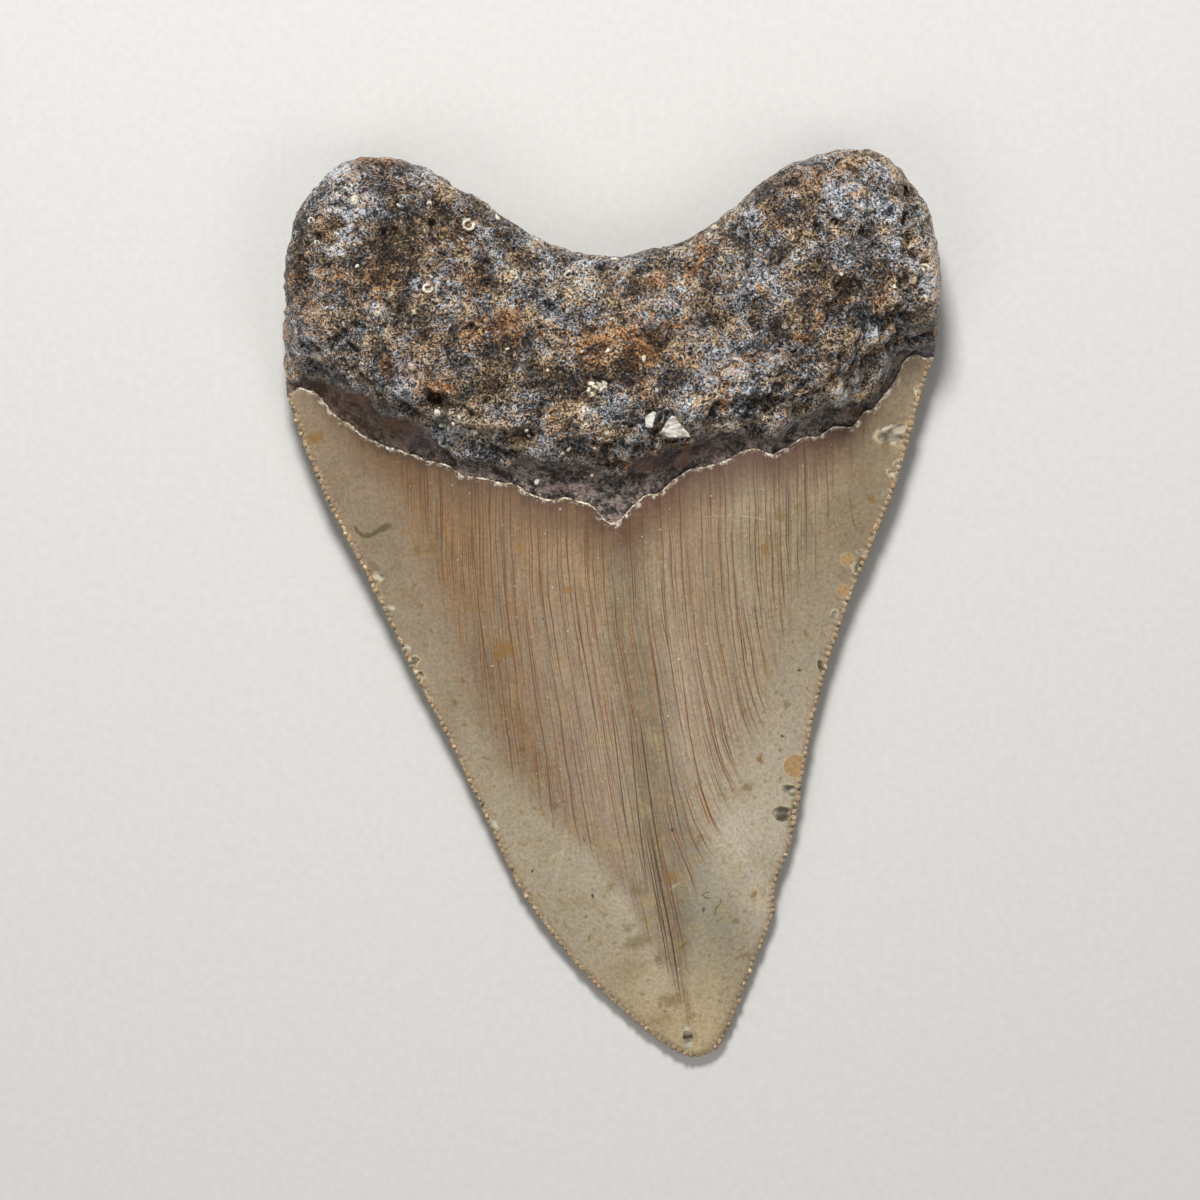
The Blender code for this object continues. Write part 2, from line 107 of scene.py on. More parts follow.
def coat(colour, roughness, relief=None, depth=0.0, strength=1.0):
    """Gives the material its colour, roughness and relief, whose depth is in millimetres."""
    inputs = tree.nodes["Principled BSDF"].inputs
    tree.links.new(colour, inputs["Base Color"])
    if isinstance(roughness, float):
        inputs["Roughness"].default_value = roughness
    else:
        tree.links.new(roughness, inputs["Roughness"])
    if relief is not None:
        bump = add("Bump", Strength=strength, Distance=depth * MM, Height=relief)
        tree.links.new(bump, inputs["Normal"])


def made_object(name, data):
    """An object in the scene for a mesh, curve, camera or light."""
    made = bpy.data.objects.new(name, data)
    bpy.context.scene.collection.objects.link(made)
    return made


scene = bpy.context.scene
scene.view_settings.view_transform = "Standard"
scene.view_settings.look = "None"

camera = bpy.data.cameras.new("camera")
camera.lens = CAMERA_LENS
camera.clip_end = CAMERA_SEES_TO * MM
scene.camera = made_object("camera", camera)
scene.camera.location = Vector(CAMERA_PLACE) * MM

for number, (place, size, power) in enumerate(SOFTBOXES):
    light = bpy.data.lights.new(f"softbox_{number}", "AREA")
    light.shape = "DISK"
    light.size = size * MM
    light.energy = power
    softbox = made_object(f"softbox_{number}", light)
    softbox.location = Vector(place) * MM
    softbox.rotation_euler = (-softbox.location).to_track_quat("-Z", "Y").to_euler()

sky = bpy.data.worlds.new("studio")
sky.use_nodes = True
sky.node_tree.nodes["Background"].inputs["Color"].default_value = linear("#ffffff")
sky.node_tree.nodes["Background"].inputs["Strength"].default_value = SKY_STRENGTH
scene.world = sky

# Matt card: an even pale grey-white with a trace of fibre.
card_mesh = bpy.data.meshes.new("card")
card_mesh.from_pydata([(x * CARD_HALF_WIDTH * MM, y * CARD_HALF_WIDTH * MM, CARD_Z * MM)
                       for x, y in ((-1, -1), (1, -1), (1, 1), (-1, 1))], [], [(0, 1, 2, 3)])
card_finish, in_mm = new_finish("matt_card")
fibre = add("TexNoise", Vector=in_mm, Scale=0.9)
coat(add("ValToRGB", fibre, ramp=[(0.3, "#cbc9c5"), (0.7, "#d0ceca")]), 0.85)
card_mesh.materials.append(card_finish)
card = made_object("card", card_mesh)

# --- The tooth: its shape ---------------------------------------------------------------------------
# One fossil: a crown capped in enamel, a sunken neck of bare dentine, and a root under a rough
# crust of phosphate. Its two faces are grids of points that share the silhouette, so it is closed.

TIP_LEFT = [(-3.0, -55.9), (3.0, -61.4), (8.2, -65.4), (12.2, -66.9)]
TIP_RIGHT = [(12.2, -66.9), (15.2, -65.8), (17.5, -62.1), (21.2, -52.7)]
LEFT_CUTTING_EDGE = [
    (-3.0, -55.9), (-8.3, -49.8), (-13.9, -41.9), (-17.9, -33.6), (-23.9, -20.9), (-29.7, -9.7),
    (-35.8, 2.9), (-41.9, 14.7), (-45.9, 24.2), (-47.8, 30.5),
]
RIGHT_CUTTING_EDGE = [
    (21.2, -52.7), (23.9, -45.6), (24.4, -41.0), (26.4, -35.6), (28.2, -25.8), (30.5, -14.0),
    (34.1, -1.9), (38.1, 8.1), (42.2, 18.6), (45.1, 29.4), (47.2, 36.4),
]
LEFT_ROOT_SIDE = [(-47.9, 32.3), (-48.2, 40.4), (-47.9, 49.9), (-46.5, 56.5), (-43.4, 61.1)]
RIGHT_ROOT_SIDE = [(47.4, 38.2), (48.0, 44.8), (47.2, 53.6), (44.9, 60.1)]
ROOT_TOP = [
    (-43.4, 61.1), (-39.6, 64.5), (-34.9, 65.5), (-27.5, 63.9), (-19.5, 59.5), (-14.3, 55.7),
    (-8.4, 52.4), (-1.1, 51.0), (5.5, 52.0), (12.1, 54.0), (17.3, 57.7), (21.7, 61.7),
    (26.8, 64.8), (34.9, 66.7), (40.7, 65.0), (44.9, 60.1),
]
LINGUAL_ENAMEL_END = [
    (-47.8, 30.5), (-45.0, 31.9), (-41.3, 28.9), (-37.6, 25.7), (-32.5, 23.1), (-26.4, 21.1),
    (-19.8, 18.5), (-14.9, 17.5), (-10.4, 15.9), (-3.6, 14.9), (-1.8, 13.2), (0.4, 12.1),
    (2.6, 14.2), (6.2, 16.3), (9.5, 18.5), (14.5, 20.4), (19.3, 22.0), (25.9, 23.0), (31.4, 25.4),
    (36.2, 27.3), (40.3, 31.0), (41.7, 34.5), (43.4, 35.9), (47.2, 36.4),
]
LINGUAL_CRUST_FOOT = [
    (-47.9, 32.3), (-44.6, 33.2), (-40.6, 31.7), (-37.2, 30.0), (-31.9, 27.4), (-27.7, 24.8),
    (-22.6, 22.0), (-16.5, 20.9), (-10.6, 20.1), (0.8, 19.1), (4.3, 20.6), (9.3, 22.0),
    (13.1, 23.2), (18.9, 24.1), (23.4, 24.5), (28.6, 27.5), (35.0, 29.8), (38.1, 31.3),
    (40.3, 34.0), (42.0, 37.0), (47.4, 38.2),
]
LABIAL_ENAMEL_END = [
    (-47.8, 30.5), (-30.0, 31.5), (-12.0, 35.0), (2.0, 36.4), (26.0, 34.6), (47.2, 36.4),
]
LABIAL_CRUST_FOOT = [
    (-47.9, 32.3), (-30.0, 33.5), (-12.0, 37.0), (2.0, 38.4), (26.0, 36.8), (47.4, 38.2),
]

TIP_Y = -66.9
SHOULDER_Y = 33.0
EDGE_AT_TIP = 1.7
EDGE_AT_SHOULDER = 5.4
ROOT_RIM = 9.6
ROOT_RIM_REACHED = 14.0
CROWN_RISE = 14.2
CROWN_RISE_LENGTH = 30.0
CROWN_FULLNESS = 1.12
LABIAL_FLAT_SHARE = 0.42
ROOT_EDGE_RADIUS = 9.0
ROOT_BLEND = 9.0
ROOT_PLATEAU = 16.0
LOBE_Y = 66.0
LABIAL_LOBE_LIFT = 3.0
LABIAL_RECESS = 0.4

# Relief of the root's lingual face: x, y, radius along x, radius along y, height.
ROOT_RELIEF = [
    (0.0, 29.0, 34.0, 13.0, 10.0),
    (-33.0, 46.0, 12.0, 14.0, 3.2),
    (35.0, 47.0, 12.0, 14.0, 3.6),
    (-8.0, 47.0, 12.0, 5.0, 0.9),
    (-31.0, 50.0, 5.5, 5.0, -1.5),
    (33.5, 44.5, 6.5, 5.5, -1.8),
    (-21.0, 37.0, 5.0, 4.0, -0.9),
    (-2.5, 36.5, 7.0, 4.5, -1.0),
    (21.0, 29.0, 4.5, 3.0, -0.9),
    (14.5, 41.0, 3.5, 3.5, -0.8),
    (-39.5, 37.5, 4.5, 3.0, -0.8),
    (24.5, 52.0, 4.0, 3.5, -0.7),
    (-13.0, 29.0, 4.0, 3.0, -0.8),
    (-45.4, 50.5, 1.1, 6.5, -1.1),
]
LUMP_HEIGHT = 1.0
LUMP_WAVELENGTH = 6.5
LUMP_SMOOTHNESS = 0.8
LUMP_OCTAVES = 3
LUMP_SEED = 4.0
ENAMEL_STEP = 0.55
ENAMEL_STEP_WIDTH = 0.16
CRUST_STEP = 0.9
CRUST_STEP_WIDTH = 0.45
STEP_FADE = 2.0
SCAR_FADE = 0.5
PIT_FADE = 0.4
# Where the wall of a pit or scar starts and ends, in shares of its half size.
PIT_WALL = (1.1, 0.55)

# Places where flakes of enamel broke off the cutting edges, and pits in the crust:
# x, y, half length, half width, depth, turn in degrees.
FLAKE_SCARS = [
    (41.9, 24.8, 2.6, 1.5, 0.7, 40.0),
    (27.0, -30.9, 2.4, 1.1, 0.6, 75.0),
    (11.6, -64.9, 2.2, 1.0, 0.4, 80.0),
    (-34.9, 4.2, 1.8, 1.2, 0.5, -60.0),
    (36.6, 5.6, 1.8, 0.9, 0.5, 65.0),
]
ROOT_PITS = [
    (-24.8, 29.6, 2.9, 1.3, 1.8, -20.0),
    (-12.6, 24.9, 1.2, 1.0, 1.1, 0.0),
    (42.0, 60.4, 1.5, 1.0, 1.1, -30.0),
    (19.8, 29.3, 1.8, 1.3, 1.1, 10.0),
    (-27.0, 55.5, 1.1, 0.9, 1.0, 0.0),
    (28.6, 36.3, 1.5, 0.9, 1.0, 15.0),
    (32.7, 61.2, 1.2, 1.2, 0.5, 0.0),
    (32.4, 55.7, 0.5, 0.4, 0.8, 0.0),
    (26.1, 38.4, 1.3, 0.6, 1.0, 10.0),
    (33.1, 35.2, 0.9, 0.7, 0.8, 0.0),
    (22.0, 28.2, 0.9, 0.7, 0.9, 0.0),
    (-4.8, 50.2, 0.5, 0.4, 0.7, 0.0),
    (10.5, 41.0, 2.0, 0.5, 0.7, 10.0),
    (13.9, 44.0, 0.4, 0.4, 0.7, 0.0),
    (-25.4, 24.4, 0.7, 0.5, 0.6, 0.0),
    (8.3, 23.9, 2.4, 0.6, 0.9, 0.0),
    (6.7, 26.3, 0.35, 1.2, 0.8, 0.0),
]

# How finely the grids are divided. The labial face takes every third row and column.
COLUMNS = 288
CROWN_ROWS = 120
CROWN_EVEN_TO = 0.988
CROWN_LAST_ROWS = (0.9935, 0.9976, 0.9989, 1.0)
NECK_ROWS = (0.015, 0.04, 0.08, 0.16, 0.26, 0.38, 0.5, 0.62, 0.74, 0.85, 0.94, 1.0)
ROOT_ROWS = 150
ROOT_FIRST_ROWS = (0.003, 0.007, 0.012)
ROOT_EVEN_FROM = 0.018
CURVE_SAMPLES = 16
RIM_CROWDING = 0.35
TOP_CROWDING = 0.4
LABIAL_STRIDE = 3

# The cutting edge is drawn back under its serrations, and the two ends of the neck are ragged:
# the height and length of each wave of raggedness.
EDGE_INSET = 0.32
INSET_FADE = 3.0
LIP_RAGGEDNESS = [(0.55, 2.6), (0.32, 1.0), (0.16, 0.5)]
FOOT_RAGGEDNESS = [(0.9, 3.2), (0.5, 1.1), (0.25, 0.5)]
RAGGED_POINTS = 900
RAGGED_FADE = 2.5
# Waves of the crust's grain that are wide enough to be modelled: height, length.
CRUST_WAVES = [(0.85, 5.0), (0.62, 2.5), (0.44, 1.25), (0.28, 0.72)]
CRUST_WORN_ABOVE = 0.3
WORN_TO = 0.45
CRUST_FADE = 0.6
CALM_RIM = 3.5
CALM_SHARE = 0.35
# Its pocks: how far apart they are, and how deep. Their radius is a share of that distance.
CRUST_POCKS = [(2.1, 0.55), (4.3, 0.75)]
POCK_RADIUS = 0.34
SHARP_ANGLE = 55.0
# The grids take up the bends of the lip and of the foot over these shares of their rows: first
# those that this many passes of smoothing leave, then all of them.
BENDS = [(1500, 60, 0.45), (60, 0, 0.15)]
CURVE_PASSES = 3
NARROWEST_NECK = 0.5


def smooth_step(low, high, value):
    """Goes from 0 to 1 between two values, with soft ends."""
    share = np.clip((value - low) / (high - low), 0.0, 1.0)
    return share * share * (3.0 - 2.0 * share)


def curve_through(points, before=None, after=None):
    """A Catmull-Rom curve through the points, which heads from one before and for one after."""
    knots = np.array([before or points[0], *points, after or points[-1]], float)
    share = np.arange(CURVE_SAMPLES)[:, None] / CURVE_SAMPLES
    stretches = [
        0.5 * (2 * b + (c - a) * share + (2 * a - 5 * b + 4 * c - d) * share**2
               + (3 * b - a - 3 * c + d) * share**3)
        for a, b, c, d in zip(knots, knots[1:], knots[2:], knots[3:])
    ]
    return np.concatenate([*stretches, knots[-2:-1]])


def lengths_along(curve):
    """How far along a curve each of its points is."""
    steps = np.linalg.norm(np.diff(curve, axis=0), axis=1)
    return np.concatenate([[0.0], np.cumsum(steps)])


def spaced(curve, shares):
    """The points of a curve at these shares of its length."""
    along = lengths_along(curve)
    places = np.asarray(shares) * along[-1]
    return np.stack([np.interp(places, along, curve[:, axis]) for axis in (0, 1)], axis=1)


def fading_ends(along, width):
    """Goes from 0 at both ends of a curve to 1 at this distance from them."""
    return smooth_step(0.0, width, along) * smooth_step(0.0, width, along[-1] - along)


def sideways(curve):
    """The direction to the left of a curve at each of its points."""
    heading = np.gradient(curve, axis=0)
    heading /= np.maximum(np.linalg.norm(heading, axis=1)[:, None], 1e-9)
    return np.stack([-heading[:, 1], heading[:, 0]], axis=1)


def distance_to(curve, x, y):
    """How far each point is from a curve, worked out a row at a time."""
    start, step = curve[:-1], np.diff(curve, axis=0)
    squared = (step**2).sum(axis=1)
    start, step, squared = start[squared > 0], step[squared > 0], squared[squared > 0]
    found = np.empty_like(x)
    for row in range(len(x)):
        from_x = x[row][:, None] - start[:, 0]
        from_y = y[row][:, None] - start[:, 1]
        along = np.clip((from_x * step[:, 0] + from_y * step[:, 1]) / squared, 0.0, 1.0)
        gap = (from_x - along * step[:, 0])**2 + (from_y - along * step[:, 1])**2
        found[row] = np.sqrt(gap.min(axis=1))
    return found


def patch(bottom, top, left, right, row_shares, column_shares):
    """Fills a four-sided outline with a grid, as a Coons patch; rows run from bottom to top."""
    s = column_shares[None, :, None]
    t = row_shares[:, None, None]
    from_sides = (1 - s) * left[:, None] + s * right[:, None]
    from_ends = (1 - t) * bottom[None] + t * top[None]
    from_corners = ((1 - s) * (1 - t) * bottom[0] + s * (1 - t) * bottom[-1]
                    + (1 - s) * t * top[0] + s * t * top[-1])
    return from_sides + from_ends - from_corners


def ragged(points, waves, seed):
    """A curve through the points, roughened by waves of noise that fade out at both ends."""
    smooth = spaced(curve_through(points), np.linspace(0.0, 1.0, RAGGED_POINTS))
    along = lengths_along(smooth)
    offset = [sum(2.0 * height * noise.noise(Vector((place / length, seed, 7.3 * length)))
                  for height, length in waves) for place in along]
    fade = fading_ends(along, RAGGED_FADE)
    return smooth + sideways(smooth) * (np.array(offset) * fade)[:, None]


def across_at(curve, shares):
    """The points of a curve that runs to the right, at these shares of its width."""
    x = np.maximum.accumulate(curve[:, 0])
    places = x[0] + shares * (x[-1] - x[0])
    return np.stack([places, np.interp(places, x, curve[:, 1])], axis=1)


def gentle(curve, passes):
    """The sweep of a curve without its sharper bends."""
    swept = curve.copy()
    for _ in range(passes):
        swept[1:-1] = 0.5 * (swept[:-2] + swept[2:])
    return swept


def with_bends(grid, curve, from_curve):
    """Bends a grid to a curve that its gentle sweep was laid on; from_curve is each row's share."""
    for more, fewer, reach in BENDS:
        share = np.clip(1.0 - from_curve / reach, 0.0, 1.0)**2
        grid = grid + share[:, None, None] * (gentle(curve, fewer) - gentle(curve, more))
    return grid


tip = curve_through(TIP_LEFT + TIP_RIGHT[1:], LEFT_CUTTING_EDGE[1], RIGHT_CUTTING_EDGE[1])
left_edge = curve_through(LEFT_CUTTING_EDGE, TIP_LEFT[1], LEFT_ROOT_SIDE[0])
right_edge = curve_through(RIGHT_CUTTING_EDGE, TIP_RIGHT[-2], RIGHT_ROOT_SIDE[0])
left_root = curve_through(LEFT_ROOT_SIDE, LEFT_CUTTING_EDGE[-1], ROOT_TOP[1])
right_root = curve_through(RIGHT_ROOT_SIDE, RIGHT_CUTTING_EDGE[-1], ROOT_TOP[-2])
top = curve_through(ROOT_TOP, LEFT_ROOT_SIDE[-2], RIGHT_ROOT_SIDE[-2])

cutting_edge = np.concatenate([left_edge[::-1], tip[1:], right_edge[1:]])
edge_along = lengths_along(cutting_edge)
inset = EDGE_INSET * fading_ends(edge_along, INSET_FADE)
drawn_back = cutting_edge + sideways(cutting_edge) * inset[:, None]
left_edge = drawn_back[:len(left_edge)][::-1]
tip = drawn_back[len(left_edge) - 1:len(left_edge) + len(tip) - 1]
right_edge = drawn_back[-len(right_edge):]

tip_middle = len(TIP_LEFT[1:]) * CURVE_SAMPLES
left_side = np.concatenate([tip[tip_middle::-1], left_edge[1:], left_root])
right_side = np.concatenate([tip[tip_middle:], right_edge[1:], right_root])
silhouette = np.concatenate([left_side, top[1:], right_side[::-1][1:]])
lingual_lip = ragged(LINGUAL_ENAMEL_END, LIP_RAGGEDNESS, 1.7)
lingual_foot = ragged(LINGUAL_CRUST_FOOT, FOOT_RAGGEDNESS, 8.2)
labial_lip = ragged(LABIAL_ENAMEL_END, LIP_RAGGEDNESS, 3.1)
labial_foot = ragged(LABIAL_CRUST_FOOT, FOOT_RAGGEDNESS, 5.6)


def plan_of_face(lip, foot):
    """One face's grid seen from above: the rows of the crown, then of the neck, then of the root."""
    even = np.linspace(0.0, 1.0, COLUMNS + 1)
    columns = (1 - RIM_CROWDING) * even + RIM_CROWDING * (0.5 - 0.5 * np.cos(math.pi * even))
    lip_points = gentle(across_at(lip, columns), CURVE_PASSES)
    foot_points = gentle(across_at(foot, columns), CURVE_PASSES)
    foot_points[:, 1] = np.maximum(foot_points[:, 1], lip_points[:, 1] + NARROWEST_NECK)
    first = np.linspace(0.0, CROWN_EVEN_TO, CROWN_ROWS + 1 - len(CROWN_LAST_ROWS))
    crown_rows = np.concatenate([first, CROWN_LAST_ROWS])
    crown = patch(spaced(tip, columns), gentle(lip_points, BENDS[0][0]),
                  spaced(left_edge, crown_rows), spaced(right_edge, crown_rows), crown_rows, columns)
    crown = with_bends(crown, lip_points, 1.0 - crown_rows)
    neck = [lip_points + share * (foot_points - lip_points) for share in NECK_ROWS]
    even = np.linspace(ROOT_EVEN_FROM, 1.0, ROOT_ROWS - len(ROOT_FIRST_ROWS))
    later = (1 - TOP_CROWDING) * even + TOP_CROWDING * np.sin(0.5 * math.pi * even)
    root_rows = np.concatenate([[0.0], ROOT_FIRST_ROWS, later])
    root = patch(gentle(foot_points, BENDS[0][0]), spaced(top, columns),
                 spaced(left_root, root_rows), spaced(right_root, root_rows), root_rows, columns)
    root = with_bends(root, foot_points, root_rows)
    return np.moveaxis(np.concatenate([crown, neck, root[1:]]), 2, 0)


def rim_height(y):
    """The height of the silhouette's edge: the cutting edges climb to the root's middle."""
    share = np.clip((y - TIP_Y) / (SHOULDER_Y - TIP_Y), 0.0, 1.0)
    cutting = EDGE_AT_TIP + (EDGE_AT_SHOULDER - EDGE_AT_TIP) * share
    on_root = smooth_step(SHOULDER_Y, SHOULDER_Y + ROOT_RIM_REACHED, y)
    return cutting + (ROOT_RIM - EDGE_AT_SHOULDER) * on_root


def rim_rounding(margin):
    """How far the root's face has risen from its rounded edge, from 0 to 1."""
    return np.sqrt(1.0 - (1.0 - np.clip(margin / ROOT_EDGE_RADIUS, 0.0, 1.0))**2)


def pit_depth(x, y, pits):
    """How deep the pits or scars of a list are at each point."""
    depth = np.zeros_like(x)
    for middle_x, middle_y, half_length, half_width, deepest, turn in pits:
        turn = math.radians(turn)
        along = (x - middle_x) * math.cos(turn) + (y - middle_y) * math.sin(turn)
        beside = (y - middle_y) * math.cos(turn) - (x - middle_x) * math.sin(turn)
        reach = np.hypot(along / half_length, beside / half_width)
        depth = np.maximum(depth, deepest * smooth_step(*PIT_WALL, reach))
    return depth


def lingual_height(x, y, across, margin, past_lip, past_foot):
    """The upper face; the last two say how far a point is past the enamel and the crust's foot."""
    rim = rim_height(y)
    rise = CROWN_RISE * (1.0 - np.exp(-(y - TIP_Y) / CROWN_RISE_LENGTH))
    crown = rim + rise * (1.0 - across**2) ** CROWN_FULLNESS
    relief = sum(height * np.exp(-((x - middle_x) / radius_x)**2 - ((y - middle_y) / radius_y)**2)
                 for middle_x, middle_y, radius_x, radius_y, height in ROOT_RELIEF)
    root = rim + (ROOT_PLATEAU + relief - rim) * rim_rounding(margin)
    share = smooth_step(0.0, ROOT_BLEND, past_lip)
    on_crust = smooth_step(0.0, STEP_FADE, past_foot)
    lumps = np.zeros(x.size)
    for number in np.flatnonzero(past_foot > 0.0):
        spot = Vector((x.flat[number] / LUMP_WAVELENGTH, y.flat[number] / LUMP_WAVELENGTH,
                       LUMP_SEED))
        lumps[number] = noise.fractal(spot, LUMP_SMOOTHNESS, 2.0, LUMP_OCTAVES)
    steps = (CRUST_STEP * smooth_step(0.0, CRUST_STEP_WIDTH, past_foot)
             - ENAMEL_STEP * smooth_step(0.0, ENAMEL_STEP_WIDTH, past_lip)
             + LUMP_HEIGHT * lumps.reshape(x.shape) * on_crust
             - pit_depth(x, y, ROOT_PITS) * smooth_step(0.0, PIT_FADE, past_foot))
    height = (1.0 - share) * crown + share * root + steps * smooth_step(0.0, STEP_FADE, margin)
    return height - pit_depth(x, y, FLAKE_SCARS) * smooth_step(0.0, SCAR_FADE, margin)


def labial_height(x, y, across, margin, past_lip):
    """The lower face: flat along the middle of the crown, and lifted towards the root's lobes."""
    rim = rim_height(y)
    outward = np.maximum(np.abs(across) - LABIAL_FLAT_SHARE, 0.0) / (1.0 - LABIAL_FLAT_SHARE)
    crown = rim * outward**2
    lift = LABIAL_RECESS + LABIAL_LOBE_LIFT * smooth_step(SHOULDER_Y, LOBE_Y, y)
    root = rim - (rim - lift) * rim_rounding(margin)
    share = smooth_step(0.0, ROOT_BLEND, past_lip)
    return (1.0 - share) * crown + share * root


def measured_face(lip, foot):
    """One face's points, and how far across, in from the margin and past each border they are."""
    x, y = plan_of_face(lip, foot)
    left, right, from_lip, past_foot = [distance_to(curve, x, y)
                                        for curve in (left_side, right_side, lip, foot)]
    past_foot[:CROWN_ROWS + len(NECK_ROWS)] = 0.0
    on_crown = np.arange(len(x))[:, None] <= CROWN_ROWS
    return {
        "x": x, "y": y,
        "across": (left - right) / np.maximum(left + right, 1e-6),
        "margin": distance_to(silhouette, x, y),
        "below_lip": np.where(on_crown, from_lip, 0.0),
        "past_lip": np.where(on_crown, 0.0, from_lip),
        "past_foot": past_foot,
    }


upper = measured_face(lingual_lip, lingual_foot)
lower = measured_face(labial_lip, labial_foot)
lies = ("x", "y", "across", "margin", "past_lip")
upper["z"] = lingual_height(*[upper[name] for name in lies], upper["past_foot"])
lower["z"] = labial_height(*[lower[name] for name in lies])

# The grids share the points of the silhouette, at the upper face's place and the mean height.
rows, columns = upper["x"].shape
on_rim = np.zeros((rows, columns), bool)
on_rim[[0, -1]] = True
on_rim[:, [0, -1]] = True
upper["z"][on_rim] = 0.5 * (upper["z"] + lower["z"])[on_rim]
coarse = np.zeros((rows, columns), bool)
coarse[::LABIAL_STRIDE, ::LABIAL_STRIDE] = True
kept = coarse & ~on_rim
upper_ids = np.arange(rows * columns).reshape(rows, columns)
lower_ids = upper_ids.copy()
lower_ids[kept] = rows * columns + np.arange(kept.sum())


def joined(name):
    """A quantity of the two faces, in the order of the mesh's vertices."""
    return np.concatenate([upper[name].ravel(), lower[name][kept]])


# Up to which rows the enamel, its broken lip and the neck reach; the crust has the rest.
FINISH_ENDS = (CROWN_ROWS - 2, CROWN_ROWS + 1, CROWN_ROWS + len(NECK_ROWS))

zones = np.searchsorted(FINISH_ENDS, np.arange(rows - 1), side="right")
faces = np.stack([upper_ids[:-1, :-1], upper_ids[:-1, 1:], upper_ids[1:, 1:], upper_ids[1:, :-1]],
                 axis=2).reshape(-1, 4).tolist()
face_zones = np.repeat(zones, columns - 1).tolist()
points = np.stack([joined("x"), joined("y"), joined("z")], axis=1)
extra_points = []
extra_sources = []
steps = range(LABIAL_STRIDE)
for row in range(0, rows - 1, LABIAL_STRIDE):
    for column in range(0, columns - 1, LABIAL_STRIDE):
        far_row, far_column = row + LABIAL_STRIDE, column + LABIAL_STRIDE
        around = [*[(row + step, column) for step in steps],
                  *[(far_row, column + step) for step in steps],
                  *[(far_row - step, far_column) for step in steps],
                  *[(row, far_column - step) for step in steps]]
        corners = [int(lower_ids[spot]) for spot in around if coarse[spot] or on_rim[spot]]
        cell = [corners]
        if len(corners) > 4:
            # A cell on the silhouette becomes a fan about its middle.
            middle = len(points) + len(extra_points)
            extra_points.append(points[corners].mean(axis=0))
            extra_sources.append(lower_ids[row or far_row, column or far_column])
            cell = [[middle, start, end] for start, end in zip(corners, corners[1:] + corners[:1])]
        faces += cell
        face_zones += [int(zones[row + 1])] * len(cell)
points = np.concatenate([points, extra_points])
extra_sources = np.array(extra_sources)


def per_vertex(name):
    """A quantity of the two faces for every vertex, those of the fans included."""
    values = joined(name)
    return np.concatenate([values, values[extra_sources]])


tooth_mesh = bpy.data.meshes.new("fossil_tooth")
tooth_mesh.from_pydata((points * MM).tolist(), [], faces)
tooth_mesh.update()
normals = np.empty(len(points) * 3)
tooth_mesh.vertices.foreach_get("normal", normals)
normals = normals.reshape(-1, 3)

# The crust is pushed out and in by noise along its normals, and its tops are worn.
past_foot = per_vertex("past_foot")
crust = smooth_step(0.0, CRUST_FADE, past_foot)
lift = np.zeros(len(points))
for number in np.flatnonzero(crust > 0.0):
    spot = Vector(points[number])
    height = sum(size * 2.0 * noise.noise(spot / length) for size, length in CRUST_WAVES)
    for spacing, depth in CRUST_POCKS:
        middle = noise.voronoi(spot / spacing)[0][0]
        height -= depth * max(0.0, 1.0 - middle / POCK_RADIUS)**0.5
    lift[number] = height * crust[number]
lift = np.minimum(lift, CRUST_WORN_ABOVE + WORN_TO * (lift - CRUST_WORN_ABOVE))
inside = CALM_SHARE + (1.0 - CALM_SHARE) * smooth_step(0.0, CALM_RIM, per_vertex("margin"))
points += normals * (lift * inside)[:, None]
points[:, 2] = np.maximum(points[:, 2], 0.0)
tooth_mesh.vertices.foreach_set("co", (points * MM).ravel())
tooth_mesh.polygons.foreach_set("material_index", face_zones)
tooth_mesh.shade_smooth()
tooth_mesh.set_sharp_from_angle(angle=math.radians(SHARP_ANGLE))
tooth_mesh.update()

# --- The tooth: where its colours lie ---------------------------------------------------------------
# Stains soaked into the fossil in soft patches, and painted shade in the crust's pits and hollows.
# Each list gives x, y, radius along x, radius along y and strength. They are kept on the mesh as
# attributes, which its finishes read.

RUST = [
    (-34.9, 64.6, 4.5, 1.6, 0.7), (0.0, 37.4, 6.5, 3.2, 0.75), (-3.0, 38.5, 3.0, 1.5, 0.6),
    (5.0, 36.5, 2.2, 2.0, 0.8), (16.1, 28.7, 0.8, 1.5, 1.1), (26.8, 38.6, 2.6, 0.8, 0.9),
    (30.0, 42.3, 1.6, 2.4, 0.9), (6.9, 47.7, 1.2, 2.4, 0.7), (11.4, 48.5, 1.3, 1.0, 0.8),
    (5.1, 46.3, 1.5, 1.5, 0.6), (29.6, 63.1, 2.0, 2.8, 0.6), (-37.8, 30.1, 2.8, 1.0, 0.9),
    (-30.5, 26.1, 2.6, 1.4, 1.0), (9.9, 40.4, 3.2, 0.9, 0.6), (-18.7, 39.8, 5.0, 2.2, 0.6),
    (-13.7, 43.3, 1.0, 2.0, 0.6), (-40.4, 48.0, 2.2, 2.0, 0.6), (-32.4, 34.8, 1.2, 2.0, 0.8),
    (-25.2, 31.4, 3.2, 0.8, 1.1), (12.8, 52.3, 0.9, 2.6, 0.8), (11.5, 22.8, 2.4, 0.8, 0.9),
    (4.5, 20.3, 5.0, 0.7, 0.7), (-47.4, 46.0, 0.8, 4.0, 0.8), (-48.0, 39.5, 0.8, 2.0, 0.9),
    (-22.0, 47.5, 3.0, 2.0, 0.4), (38.0, 32.0, 2.6, 1.0, 0.9), (-35.0, 47.0, 3.0, 3.0, 0.4),
    (20.0, 35.5, 2.5, 2.5, 0.45), (-46.5, 36.0, 1.2, 1.6, 0.6), (47.2, 44.0, 0.8, 5.0, 0.6),
    (36.6, 27.9, 1.8, 0.9, 0.9),
]
